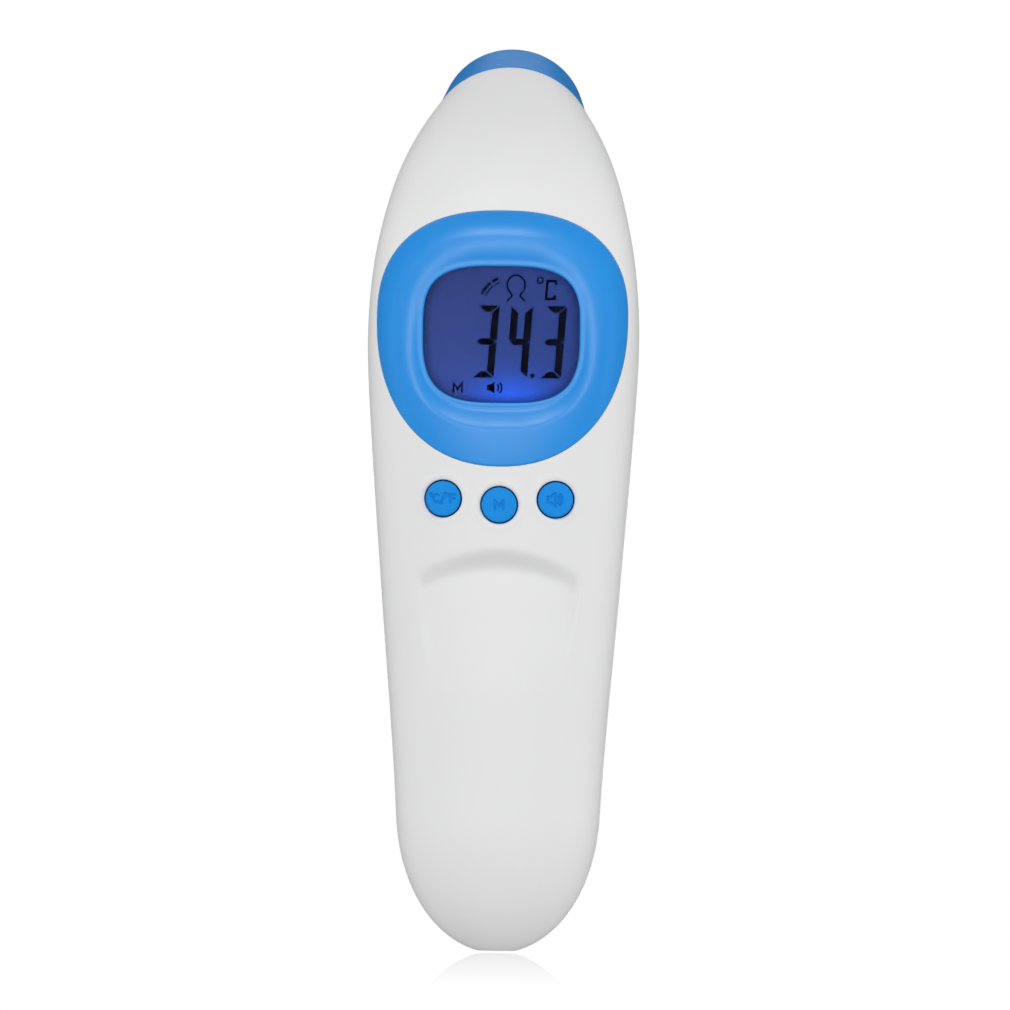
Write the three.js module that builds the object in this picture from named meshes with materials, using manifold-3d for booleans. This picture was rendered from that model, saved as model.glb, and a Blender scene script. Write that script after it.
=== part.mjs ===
// A non-contact infrared thermometer of the baton kind, standing on the end of its handle.
// Millimetres, +Z up along the handle. The display faces -Y and the probe nozzle points back, towards +Y, and a little up.
// The origin is the middle of the small flat on the end of the handle.
import * as THREE from "three";
import { mergeVertices } from "three/addons/utils/BufferGeometryUtils.js";
import Module from "manifold-3d";

const wasm = await Module();
wasm.setup();

// ---- Driving dimensions ----
const GAP = 0.3; // clearance between pieces that touch
const WALL = 2.2; // thickness of the white shells

const SPINE_BEND_START = 102; // height at which the body starts to lean back into the head
const RING_CENTRE = new THREE.Vector3(0, 27, 143.4); // where the white head ends and the nozzle starts
const RING_RADIUS = 14.5;
const NOZZLE_TILT = THREE.MathUtils.degToRad(25); // the probe's axis above the horizontal
const NOZZLE_LENGTH = 13.4;
const NOZZLE_RIM_RADIUS = 12.2;

const DOME_HEIGHT = 24; // round end of the handle
const DOME_FLAT = 0.25; // how far short of a point the dome stops, which leaves the flat it stands on
const PARTING_BEHIND = 1.2; // the front shell wraps this far past the body's widest line

const BEZEL = { z: 111.8, halfWidth: 22.2, up: 19.5, down: 25.9, upPower: 2.43, downPower: 2.2 };
const WINDOW = { z: 110, halfWidth: 13.85, up: 11.2, down: 12.9, upPower: 3.25, downPower: 3.25 };
const LENS_FRONT = -11.6;
const LENS_THICKNESS = 1.2;
const BEZEL_BACK = -3.8; // how far the bezel's sides reach back round the body

const BOARD_FRONT = -3.2; // front face of the circuit board
const BOARD_THICKNESS = 1.2;
const BOARD_BACK = BOARD_FRONT + BOARD_THICKNESS;
const BOARD = { halfWidth: 14.8, low: 75.2, high: 125.5 };

const BUTTON_RADIUS = 3.2;
const BUTTON_PITCH = 9.9;
const BUTTON_PROUD = 0.5;
const BUTTONS = [
  { name: "unit_button", x: -BUTTON_PITCH, z: 80.1, collar: -8.3 },
  { name: "memory_button", x: 0, z: 79.1, collar: -10.5 },
  { name: "sound_button", x: BUTTON_PITCH, z: 80.1, collar: -8.3 },
];

const TRIGGER = { z: 93, halfWidth: 6.5, halfHeight: 11, proud: 2.4 };
const BATTERY_RADIUS = 5.2;
const BATTERY_LENGTH = 44.5;
const BATTERY_X = 5.6;
const BATTERY_Y = 3.4;
const BAY = { halfWidth: 11.1, low: 16.7, high: 68.3, floor: -2.2, wall: 1.2, rim: 8.8 };
const DOOR = { halfWidth: 13.4, low: 13, high: 73, corner: 6, thickness: 1.8 };

// ---- Colours and finishes ----
const WHITE = new THREE.MeshStandardMaterial({ color: 0xe3e4e6, roughness: 0.42 });
const BLUE = new THREE.MeshStandardMaterial({ color: 0x2b86d8, roughness: 0.4 });
const CLEAR = new THREE.MeshStandardMaterial({ color: 0x9fb4d8, roughness: 0.08, transparent: true, opacity: 0.4 });
const LCD = new THREE.MeshStandardMaterial({ color: 0x3d4a86, roughness: 0.2 });
const DIFFUSER = new THREE.MeshStandardMaterial({ color: 0xdfe9ff, roughness: 0.5 });
const HOLDER = new THREE.MeshStandardMaterial({ color: 0xf2f2f0, roughness: 0.5 });
const BOARD_GREEN = new THREE.MeshStandardMaterial({ color: 0x1f6b3f, roughness: 0.45 });
const BLACK = new THREE.MeshStandardMaterial({ color: 0x1b1c1e, roughness: 0.5 });
const STEEL = new THREE.MeshStandardMaterial({ color: 0xb9bcc0, roughness: 0.3, metalness: 1 });
const CHROME = new THREE.MeshStandardMaterial({ color: 0xdadde0, roughness: 0.08, metalness: 1 });
const RUBBER = new THREE.MeshStandardMaterial({ color: 0x55585c, roughness: 0.8 });
const SLEEVE = new THREE.MeshStandardMaterial({ color: 0x3a6f4a, roughness: 0.35 });
const RED_WIRE = new THREE.MeshStandardMaterial({ color: 0xb3261e, roughness: 0.5 });

// ---- Solids ----
function solid(geometry) {
  const bare = geometry.clone();
  bare.deleteAttribute("normal");
  bare.deleteAttribute("uv");
  const merged = mergeVertices(bare, 1e-4);
  return new wasm.Manifold(
    new wasm.Mesh({
      numProp: 3,
      vertProperties: merged.attributes.position.array,
      triVerts: new Uint32Array(merged.index.array),
    }),
  );
}

function geometryOf(shape) {
  const mesh = shape.getMesh();
  const geometry = new THREE.BufferGeometry();
  geometry.setAttribute("position", new THREE.BufferAttribute(mesh.vertProperties, 3));
  geometry.setIndex(new THREE.BufferAttribute(mesh.triVerts, 1));
  return geometry;
}

// A box from its lowest to its highest corner.
function block(low, high) {
  const size = high.map((value, i) => value - low[i]);
  const middle = high.map((value, i) => (value + low[i]) / 2);
  return solid(new THREE.BoxGeometry(...size).translate(...middle));
}

// A cylinder along Y from y = start to y = end.
function rodAlongY(radius, x, z, start, end, sides = 16) {
  const geometry = new THREE.CylinderGeometry(radius, radius, Math.abs(end - start), sides);
  return solid(geometry.translate(x, (start + end) / 2, z));
}

// A solid turned about Z from [radius, height] pairs that start and end on the axis or close on themselves.
function turned(profile, sides = 32) {
  const points = profile.map(([radius, height]) => new THREE.Vector2(radius, height));
  return new THREE.LatheGeometry(points, sides).rotateX(Math.PI / 2);
}

// An outline in X and Z, pushed through from y = front to y = back.
function prismAlongY(outline, front, back) {
  const settings = { depth: back - front, bevelEnabled: false, curveSegments: 6 };
  const geometry = new THREE.ExtrudeGeometry(outline, settings);
  return solid(geometry.rotateX(Math.PI / 2).translate(0, back, 0));
}

// An outline in Y and Z, given some width about x = 0.
function slabAcrossX(outline, width) {
  const toRow = new THREE.Matrix4().makeBasis(
    new THREE.Vector3(0, 1, 0),
    new THREE.Vector3(0, 0, 1),
    new THREE.Vector3(1, 0, 0),
  );
  const slab = new THREE.ExtrudeGeometry(outline, { depth: width, bevelEnabled: false });
  return solid(slab.translate(0, 0, -width / 2).applyMatrix4(toRow));
}

// Rings of equal count joined into one closed surface, either capped at both ends or closed on itself.
// Its faces are turned outwards whichever way the rings run.
function loft(rings, closed = false) {
  const count = rings[0].length;
  const positions = rings.flat().flatMap((point) => point.toArray());
  const faces = [];
  const spans = closed ? rings.length : rings.length - 1;
  for (let i = 0; i < spans; i++) {
    for (let j = 0; j < count; j++) {
      const a = i * count + j;
      const b = i * count + ((j + 1) % count);
      const c = ((i + 1) % rings.length) * count + j;
      const d = ((i + 1) % rings.length) * count + ((j + 1) % count);
      faces.push(a, b, d, a, d, c);
    }
  }
  if (!closed) {
    const last = (rings.length - 1) * count;
    for (let j = 1; j < count - 1; j++) {
      faces.push(0, j + 1, j, last, last + j, last + j + 1);
    }
  }
  const geometry = new THREE.BufferGeometry();
  geometry.setAttribute("position", new THREE.Float32BufferAttribute(positions, 3));
  geometry.setIndex(faces);
  const made = solid(geometry);
  if (made.volume() > 0) return made;
  geometry.setIndex(faces.reverse());
  return solid(geometry);
}

// A round bar bent along a curve.
function bar(curve, radius, steps, sides = 8) {
  const section = new THREE.Shape(
    Array.from({ length: sides }, (_, i) => {
      const turn = (2 * Math.PI * i) / sides;
      return new THREE.Vector2(radius * Math.cos(turn), radius * Math.sin(turn));
    }),
  );
  return solid(new THREE.ExtrudeGeometry(section, { steps, extrudePath: curve, bevelEnabled: false }));
}

// A coil spring along Z, whose radius runs evenly from its foot to its head.
class Coil extends THREE.Curve {
  constructor(footRadius, headRadius, length, turns) {
    super();
    Object.assign(this, { footRadius, headRadius, length, turns });
  }

  getPoint(t, target = new THREE.Vector3()) {
    const radius = THREE.MathUtils.lerp(this.footRadius, this.headRadius, t);
    const turn = 2 * Math.PI * this.turns * t;
    return target.set(radius * Math.cos(turn), radius * Math.sin(turn), this.length * t);
  }
}

// ---- The outer skin: egg-shaped sections along a spine that is straight in the handle and leans back in the head ----
const PROBE_AXIS = new THREE.Vector3(0, Math.cos(NOZZLE_TILT), Math.sin(NOZZLE_TILT));
const HEAD_SPINE = new THREE.CubicBezierCurve3(
  new THREE.Vector3(0, 0, SPINE_BEND_START),
  new THREE.Vector3(0, 0, SPINE_BEND_START + 26),
  RING_CENTRE.clone().addScaledVector(PROBE_AXIS, -13),
  RING_CENTRE,
);
const SPINE_LENGTH = SPINE_BEND_START + HEAD_SPINE.getLength();

// [distance along the spine as a share of its length, half width, depth in front, depth behind, power of the outline]
const SECTIONS = [
  [0, 17.8, 11.8, 12.6, 2.2],
  [0.16, 18.1, 12.1, 12.9, 2.3],
  [0.42, 21.2, 13, 13.6, 2.4],
  [0.6, 23.3, 13.9, 13.8, 2.6],
  [0.7, 24.0, 14.2, 13.6, 2.7],
  [0.78, 23.4, 14.8, 13.4, 2.7],
  [0.86, 21.3, 15.4, 13.6, 2.4],
  [0.93, 18.1, 14.9, 14, 2.15],
  [1, RING_RADIUS, RING_RADIUS, RING_RADIUS, 2],
];

// Smooth values between the rows of SECTIONS (a Catmull-Rom curve through each column).
function sectionValues(share) {
  const last = SECTIONS.length - 1;
  const at = Math.max(0, Math.min(last - 1, SECTIONS.findLastIndex((row) => row[0] <= share)));
  const rows = [at - 1, at, at + 1, at + 2].map((i) => SECTIONS[Math.max(0, Math.min(last, i))]);
  const span = rows[2][0] - rows[1][0];
  const t = (share - rows[1][0]) / span;
  return [1, 2, 3, 4].map((column) => {
    const slopeIn = (rows[2][column] - rows[0][column]) / (rows[2][0] - rows[0][0]);
    const slopeOut = (rows[3][column] - rows[1][column]) / (rows[3][0] - rows[1][0]);
    return (
      (2 * t ** 3 - 3 * t ** 2 + 1) * rows[1][column] +
      (t ** 3 - 2 * t ** 2 + t) * span * slopeIn +
      (3 * t ** 2 - 2 * t ** 3) * rows[2][column] +
      (t ** 3 - t ** 2) * span * slopeOut
    );
  });
}

// The section at a distance along the spine, with the skin moved out by offset.
function sectionAt(distance, offset = 0) {
  const centre = new THREE.Vector3(0, 0, distance);
  const along = new THREE.Vector3(0, 0, 1);
  if (distance > SPINE_LENGTH) {
    along.copy(PROBE_AXIS);
    centre.copy(RING_CENTRE).addScaledVector(PROBE_AXIS, distance - SPINE_LENGTH);
  } else if (distance > SPINE_BEND_START) {
    const t = (distance - SPINE_BEND_START) / (SPINE_LENGTH - SPINE_BEND_START);
    HEAD_SPINE.getPointAt(t, centre);
    HEAD_SPINE.getTangentAt(t, along);
  }
  const [halfWidth, front, back, power] = sectionValues(Math.min(distance / SPINE_LENGTH, 1));
  const fromTop = Math.max(0, DOME_HEIGHT - distance) / (DOME_HEIGHT + DOME_FLAT + offset);
  const dome = Math.sqrt(Math.max(0, 1 - fromTop ** 2));
  return {
    centre,
    forward: new THREE.Vector3(0, -along.z, along.y),
    halfWidth: (halfWidth + offset) * dome,
    front: (front + offset) * dome,
    back: (back + offset) * dome,
    power,
  };
}

function sectionRing(distance, offset, count) {
  const section = sectionAt(distance, offset);
  return Array.from({ length: count }, (_, i) => {
    const turn = (2 * Math.PI * i) / count;
    const across = Math.sign(Math.cos(turn)) * Math.abs(Math.cos(turn)) ** (2 / section.power);
    const depth = Math.sign(Math.sin(turn)) * Math.abs(Math.sin(turn)) ** (2 / section.power);
    return section.centre
      .clone()
      .addScaledVector(section.forward, depth * (depth > 0 ? section.front : section.back))
      .add(new THREE.Vector3(across * section.halfWidth, 0, 0));
  });
}

// The whole body as one solid, its skin moved out by offset (in, when negative) and run on past the ring by beyond.
function body(offset, beyond = 0, count = offset < 0 ? 24 : 32) {
  const start = -Math.min(offset, 0);
  const distances = [0, 0.02, 0.07, 0.17, 0.34, 0.6, 1].map((t) => start + (DOME_HEIGHT - start) * t);
  const HANDLE_SPANS = 3;
  const HEAD_SPANS = 8;
  for (let i = 1; i <= HANDLE_SPANS; i++) {
    distances.push(DOME_HEIGHT + ((SPINE_BEND_START - DOME_HEIGHT) * i) / HANDLE_SPANS);
  }
  for (let i = 1; i <= HEAD_SPANS; i++) {
    distances.push(SPINE_BEND_START + ((SPINE_LENGTH - SPINE_BEND_START) * i) / HEAD_SPANS);
  }
  if (beyond) distances.push(SPINE_LENGTH + beyond);
  return loft(distances.map((distance) => sectionRing(distance, offset, count)));
}

// How far forward (as y) the skin reaches at a place seen from the front.
function frontSkin(x, z, offset = 0) {
  let low = 0;
  let high = SPINE_LENGTH;
  let point = new THREE.Vector3();
  for (let i = 0; i < 40; i++) {
    const middle = (low + high) / 2;
    const section = sectionAt(middle, offset);
    const inside = Math.max(0, 1 - Math.abs(x / section.halfWidth) ** section.power);
    point = section.centre.addScaledVector(section.forward, section.front * inside ** (1 / section.power));
    if (point.z < z) low = middle;
    else high = middle;
  }
  return point.y;
}

// ---- Outlines seen from the front, in X and Z ----
function eggPoint(egg, turn, grow = 0) {
  const upper = Math.sin(turn) > 0;
  const power = upper ? egg.upPower : egg.downPower;
  const across = Math.sign(Math.cos(turn)) * Math.abs(Math.cos(turn)) ** (2 / power);
  const rise = Math.sign(Math.sin(turn)) * Math.abs(Math.sin(turn)) ** (2 / power);
  return new THREE.Vector2(
    across * (egg.halfWidth + grow),
    egg.z + rise * ((upper ? egg.up : egg.down) + grow),
  );
}

function eggOutline(egg, grow = 0, count = 32) {
  return new THREE.Shape(
    Array.from({ length: count }, (_, i) => eggPoint(egg, (2 * Math.PI * i) / count, grow)),
  );
}

function roundedOutline(halfWidth, low, high, corner, x = 0) {
  const shape = new THREE.Shape();
  shape.moveTo(x - halfWidth + corner, low);
  shape.absarc(x + halfWidth - corner, low + corner, corner, -Math.PI / 2, 0);
  shape.absarc(x + halfWidth - corner, high - corner, corner, 0, Math.PI / 2);
  shape.absarc(x - halfWidth + corner, high - corner, corner, Math.PI / 2, Math.PI);
  shape.absarc(x - halfWidth + corner, low + corner, corner, Math.PI, 1.5 * Math.PI);
  return shape;
}

// ---- Cutting the body into a front and a rear half along its spine ----
function halfSpace(forwards) {
  const REACH = 90; // beyond the body on every side
  const BELOW = 20;
  const side = forwards ? GAP / 2 : -GAP / 2;
  const seam = [-BELOW, 0, 40, SPINE_BEND_START];
  const SEAM_SPANS = 8;
  for (let i = 1; i <= SEAM_SPANS; i++) {
    seam.push(SPINE_BEND_START + ((SPINE_LENGTH - SPINE_BEND_START) * i) / SEAM_SPANS);
  }
  seam.push(SPINE_LENGTH + REACH);
  const points = seam.map((distance) => {
    const section = sectionAt(distance);
    const place = section.centre.addScaledVector(section.forward, side - PARTING_BEHIND);
    return new THREE.Vector2(place.y, place.z);
  });
  const end = points.at(-1);
  const corners = forwards
    ? [
        new THREE.Vector2(end.x, end.y + REACH),
        new THREE.Vector2(-REACH, end.y + REACH),
        new THREE.Vector2(-REACH, -BELOW),
      ]
    : [new THREE.Vector2(end.x + REACH, end.y), new THREE.Vector2(end.x + REACH, -BELOW)];
  return slabAcrossX(new THREE.Shape([...points, ...corners]), REACH);
}

const SCREWS = [
  { name: "shell_screw_lower_left", x: -15.2, z: 74.5, seat: 6.6 },
  { name: "shell_screw_lower_right", x: 15.2, z: 74.5, seat: 6.6 },
  { name: "shell_screw_upper_left", x: -18.6, z: 110, seat: 7.2 },
  { name: "shell_screw_upper_right", x: 18.6, z: 110, seat: 7.2 },
];
const SCREW = { head: 2.1, headHeight: 1.5, shank: 1.05, length: 11, boss: 2.7, counterbore: 2.4 };
const BOARD_SCREWS = [
  { name: "board_screw_left", x: -BUTTON_PITCH / 2, z: 83.9 },
  { name: "board_screw_right", x: BUTTON_PITCH / 2, z: 83.9 },
];

const BOARD_POST = { radius: 1.9, bore: 1.1, depth: 8.5 };

const SCOOP = { top: 70.6, low: 44, halfWidth: 14.4, floorTop: -11.3, floorLow: -13 };

// The thumb rest's outline: an arched top with round corners and straight sides.
function scoopOutline(grow = 0) {
  const halfWidth = SCOOP.halfWidth + grow;
  const shoulder = SCOOP.top - 5.2 + grow;
  const shape = new THREE.Shape();
  shape.moveTo(-halfWidth, SCOOP.low);
  shape.lineTo(halfWidth, SCOOP.low);
  shape.lineTo(halfWidth, shoulder - 3);
  shape.quadraticCurveTo(halfWidth, shoulder, halfWidth - 2.4, shoulder + 1);
  shape.quadraticCurveTo(0, SCOOP.top + 4.6 + grow, -halfWidth + 2.4, shoulder + 1);
  shape.quadraticCurveTo(-halfWidth, shoulder, -halfWidth, shoulder - 3);
  shape.closePath();
  return shape;
}

// What lies in front of the thumb rest's sloping floor.
function scoopCutter() {
  const slope = new THREE.Shape();
  slope.moveTo(-30, SCOOP.low);
  slope.lineTo(SCOOP.floorLow, SCOOP.low);
  slope.lineTo(SCOOP.floorTop, SCOOP.top + 6);
  slope.lineTo(-30, SCOOP.top + 6);
  slope.closePath();
  return slabAcrossX(slope, 60).intersect(prismAlongY(scoopOutline(), -30, -5));
}

function frontShell() {
  const outer = body(0);
  const inner = body(-WALL, 3);
  const padding = outer.subtract(body(-WALL - 2, 3)).intersect(prismAlongY(scoopOutline(2), -30, -2));
  let shell = outer.subtract(inner).add(padding);
  for (const { x, z } of SCREWS) {
    const rib = block([Math.min(x, x * 2), -3, z - 1], [Math.max(x, x * 2), 10, z + 1]);
    shell = shell.add(rodAlongY(SCREW.boss, x, z, -30, 20).add(rib).intersect(outer));
  }
  for (const { x, z } of BOARD_SCREWS) {
    shell = shell.add(rodAlongY(BOARD_POST.radius, x, z, -30, BOARD_FRONT - GAP, 12).intersect(outer));
  }
  shell = shell.intersect(halfSpace(true));
  for (const { x, z } of SCREWS) {
    shell = shell.subtract(rodAlongY(SCREW.shank + GAP, x, z, -7, 20, 12));
  }
  for (const { x, z } of BOARD_SCREWS) {
    shell = shell.subtract(rodAlongY(BOARD_POST.bore, x, z, -BOARD_POST.depth, 0, 12));
  }
  shell = shell.subtract(prismAlongY(eggOutline(BEZEL, GAP), -40, BEZEL_BACK + GAP));
  for (const { x, z } of BUTTONS) {
    shell = shell.subtract(rodAlongY(BUTTON_RADIUS + GAP, x, z, -30, -6, 24));
  }
  return shell.subtract(scoopCutter());
}

function triggerOutline(grow) {
  const { z, halfWidth, halfHeight } = TRIGGER;
  return roundedOutline(halfWidth + grow, z - halfHeight - grow, z + halfHeight + grow, halfWidth - 0.5 + grow);
}

function rearShell() {
  const outer = body(0);
  const doorGrown = roundedOutline(DOOR.halfWidth + 2, DOOR.low - 2, DOOR.high + 2, DOOR.corner + 2);
  const rim = outer.subtract(body(-WALL - 1.4, 3)).intersect(prismAlongY(doorGrown, 2, 40));
  let shell = outer.subtract(body(-WALL, 3)).add(rim);
  for (const { x, z } of SCREWS) {
    shell = shell.add(rodAlongY(SCREW.boss + 0.6, x, z, 0, 40).intersect(outer));
  }
  shell = shell.intersect(halfSpace(false));
  for (const { x, z, seat } of SCREWS) {
    shell = shell.subtract(rodAlongY(SCREW.shank + GAP, x, z, 0, 30, 12));
    shell = shell.subtract(rodAlongY(SCREW.counterbore, x, z, seat, 40));
  }
  const doorPocket = roundedOutline(
    DOOR.halfWidth + GAP,
    DOOR.low - GAP,
    DOOR.high + GAP,
    DOOR.corner + GAP,
  );
  shell = shell.subtract(prismAlongY(doorPocket, 3, 40).subtract(body(-DOOR.thickness - GAP, 3)));
  const bayMouth = roundedOutline(BAY.halfWidth + 0.4, DOOR.low + 2.5, DOOR.high - 3, 3);
  shell = shell.subtract(prismAlongY(bayMouth, 3, 40));
  return shell.subtract(prismAlongY(triggerOutline(GAP), 3, 40));
}

function batteryDoor() {
  const outline = roundedOutline(DOOR.halfWidth, DOOR.low, DOOR.high, DOOR.corner);
  const panel = body(0).subtract(body(-DOOR.thickness, 3)).intersect(prismAlongY(outline, 3, 40));
  const inside = body(-1);
  const hooks = [-6, 6].map((x) => block([x - 2, 9.2, DOOR.low + 3], [x + 2, 20, DOOR.low + 4.4]));
  const latch = block([-5, 9.6, DOOR.high - 5.4], [5, 20, DOOR.high - 4]);
  return [...hooks, latch].reduce((door, tab) => door.add(tab.intersect(inside)), panel);
}

// ---- Probe: pieces turned about the probe's axis, with height measured outwards from the end of the white head ----
function onProbeAxis(geometry) {
  const turn = new THREE.Quaternion().setFromUnitVectors(new THREE.Vector3(0, 0, 1), PROBE_AXIS);
  return geometry.applyQuaternion(turn).translate(...RING_CENTRE.toArray());
}

const SPIGOT_RADIUS = RING_RADIUS - WALL - GAP;
const REFLECTOR_RADIUS = 6.4;

function probeNozzle() {
  const profile = [
    [SPIGOT_RADIUS - 1.6, -3.5],
    [SPIGOT_RADIUS, -3.5],
    [SPIGOT_RADIUS, GAP],
    [RING_RADIUS - 0.1, GAP],
    [RING_RADIUS - 0.5, 4.5],
    [NOZZLE_RIM_RADIUS + 1, NOZZLE_LENGTH - 2.6],
    [NOZZLE_RIM_RADIUS, NOZZLE_LENGTH - 0.6],
    [NOZZLE_RIM_RADIUS - 1, NOZZLE_LENGTH],
    [NOZZLE_RIM_RADIUS - 2, NOZZLE_LENGTH - 0.4],
    [NOZZLE_RIM_RADIUS - 2.6, NOZZLE_LENGTH - 1.6],
    [8, 5],
    [REFLECTOR_RADIUS + GAP, 4.6],
    [REFLECTOR_RADIUS + GAP, 2.6],
    [SPIGOT_RADIUS - 1.6, 1.6],
    [SPIGOT_RADIUS - 1.6, -3.5],
  ];
  return onProbeAxis(turned(profile, 32));
}

function probeReflector() {
  const profile = [
    [2.6, -4.6],
    [REFLECTOR_RADIUS, -4.6],
    [REFLECTOR_RADIUS, 4.4],
    [5.6, 4.4],
    [3.4, -1.5],
    [2.6, -3.4],
    [2.6, -4.6],
  ];
  return onProbeAxis(turned(profile, 24));
}

function sensorCan() {
  const profile = [
    [0, -9.6],
    [4.6, -9.6],
    [4.6, -9.1],
    [4.1, -9.1],
    [4.1, -5.5],
    [3.7, -5.1],
    [0, -5.1],
  ];
  return onProbeAxis(turned(profile, 20));
}

function sensorBoard() {
  return onProbeAxis(new THREE.CylinderGeometry(7.2, 7.2, 1, 24).rotateX(Math.PI / 2).translate(0, 0, -10.6));
}

// A flat ribbon from the sensor's board down to the top of the main board.
function sensorCable() {
  const start = RING_CENTRE.clone().addScaledVector(PROBE_AXIS, -11.5);
  const end = new THREE.Vector3(0, BOARD_BACK + GAP + 0.6, BOARD.high - 4);
  const middle = new THREE.Vector3(0, 3.5, 132.5);
  const overEdge = new THREE.Vector3(0, end.y + 0.7, BOARD.high);
  const route = new THREE.CatmullRomCurve3([start, middle, overEdge, end]);
  const ribbon = new THREE.Shape();
  ribbon.moveTo(-2.5, -0.2);
  ribbon.lineTo(2.5, -0.2);
  ribbon.lineTo(2.5, 0.2);
  ribbon.lineTo(-2.5, 0.2);
  ribbon.closePath();
  return new THREE.ExtrudeGeometry(ribbon, { steps: 14, extrudePath: route, bevelEnabled: false });
}

// ---- Display ----
// The bezel follows the front skin at its outer edge, rises to a soft crest and dips to the window.
function displayBezel() {
  const COUNT = 32;
  const CREST = 0.46; // share of the way from the window's edge to the outer edge
  const SEAT = 0.2; // share that lies over the rim of the lens
  const THICKNESS = 1.4;
  const crestHeight = (x, z) => (frontSkin(x, z, 0.9) - 13.6) / 2;
  const face = (share, x, z) => {
    if (share >= CREST) {
      const t = ((share - CREST) / (1 - CREST)) ** 2;
      return THREE.MathUtils.lerp(crestHeight(x, z), frontSkin(x, z, 0.1), t);
    }
    const t = THREE.MathUtils.smoothstep(share, 0.1, CREST);
    return THREE.MathUtils.lerp(LENS_FRONT - 0.7, crestHeight(x, z), t);
  };
  const underside = (share, x, z) =>
    share <= SEAT ? LENS_FRONT - GAP : Math.min(face(share, x, z) + THICKNESS, BEZEL_BACK);
  const rows = [
    ...[1, 0.85, 0.65, CREST, 0.34, 0.22, 0.1, 0].map((share) => [share, face]),
    ...[0, SEAT, 0.3, 0.6, 1].map((share) => [share, underside]),
  ];
  const rings = rows.map(([share, height]) =>
    Array.from({ length: COUNT }, (_, i) => {
      const turn = (2 * Math.PI * i) / COUNT;
      const place = eggPoint(WINDOW, turn).lerp(eggPoint(BEZEL, turn), share);
      return new THREE.Vector3(place.x, height(share, place.x, place.y), place.y);
    }),
  );
  return loft(rings, true);
}

function displayLens() {
  return prismAlongY(eggOutline(WINDOW, 1.3), LENS_FRONT, LENS_FRONT + LENS_THICKNESS);
}

const LCD_FRONT = LENS_FRONT + LENS_THICKNESS + GAP;
const LCD_THICKNESS = 2;
const BACKLIGHT_FRONT = LCD_FRONT + LCD_THICKNESS + GAP;
const BACKLIGHT_THICKNESS = 2.6;
const LCD_HALF_WIDTH = 14.3;
const LCD_LOW = 96.4;
const LCD_HIGH = 122.5;

function lcdGlass() {
  return block([-LCD_HALF_WIDTH, LCD_FRONT, LCD_LOW], [LCD_HALF_WIDTH, LCD_FRONT + LCD_THICKNESS, LCD_HIGH]);
}

function backlight() {
  return block(
    [-LCD_HALF_WIDTH, BACKLIGHT_FRONT, LCD_LOW + 3],
    [LCD_HALF_WIDTH, BACKLIGHT_FRONT + BACKLIGHT_THICKNESS, LCD_HIGH],
  );
}

function contactStrip() {
  return block([-12.5, BACKLIGHT_FRONT, LCD_LOW + 0.5], [12.5, BOARD_FRONT - GAP, LCD_LOW + 2.5]);
}

function displayHolder() {
  const wall = 0.7;
  const grown = block(
    [-LCD_HALF_WIDTH - GAP - wall, LCD_FRONT + 0.6, LCD_LOW - GAP - wall],
    [LCD_HALF_WIDTH + GAP + wall, BOARD_FRONT - GAP, LCD_HIGH + GAP + wall],
  );
  const room = block(
    [-LCD_HALF_WIDTH - GAP, LCD_FRONT - 1, LCD_LOW - GAP],
    [LCD_HALF_WIDTH + GAP, 0, LCD_HIGH + GAP],
  );
  return grown.subtract(room);
}

// ---- Board and what is on it ----
function mainBoard() {
  const outline = roundedOutline(BOARD.halfWidth, BOARD.low, BOARD.high, 2);
  let board = prismAlongY(outline, BOARD_FRONT, BOARD_FRONT + BOARD_THICKNESS);
  for (const { x, z } of BOARD_SCREWS) board = board.subtract(rodAlongY(1.4, x, z, -10, 10, 12));
  for (const { x, z } of SCREWS) board = board.subtract(rodAlongY(SCREW.boss + 0.9, x, z, -10, 10, 20));
  return board;
}

// A push switch with its plunger, standing on a face at y = foot and pressed along Y.
function pushSwitch(x, z, foot, facing, size, height, plunger) {
  const top = foot + facing * height;
  const half = size / 2;
  const low = [x - half, Math.min(foot, top), z - half];
  const high = [x + half, Math.max(foot, top), z + half];
  return block(low, high).add(rodAlongY(size / 4, x, z, foot + facing * 0.5, top + facing * plunger, 14));
}

const KEY_SWITCH = { size: 4.6, height: 2.2, plunger: 0.7 };
const KEY_FOOT = BOARD_FRONT - GAP;
const KEY_TRAVEL_GAP = 0.7; // free space between a button's stem and its switch at rest

function keyButton({ x, z, collar }) {
  const face = frontSkin(x, z) - BUTTON_PROUD;
  const stemEnd = KEY_FOOT - KEY_SWITCH.height - KEY_SWITCH.plunger - KEY_TRAVEL_GAP;
  const profile = [
    [0, -stemEnd],
    [1.3, -stemEnd],
    [1.3, -collar - 0.8],
    [BUTTON_RADIUS + 0.9, -collar - 0.8],
    [BUTTON_RADIUS + 0.9, -collar],
    [BUTTON_RADIUS, -collar],
    [BUTTON_RADIUS, -face - 0.4],
    [BUTTON_RADIUS - 0.4, -face - 0.08],
    [BUTTON_RADIUS * 0.5, -face],
    [0, -face],
  ];
  return solid(turned(profile, 20).rotateX(Math.PI / 2).translate(x, 0, z));
}

const TRIGGER_COLLAR = 9.2;
const TRIGGER_SWITCH = { size: 6, height: 3.4, plunger: 0.9 };
const TRIGGER_TRAVEL_GAP = 2;

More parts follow.
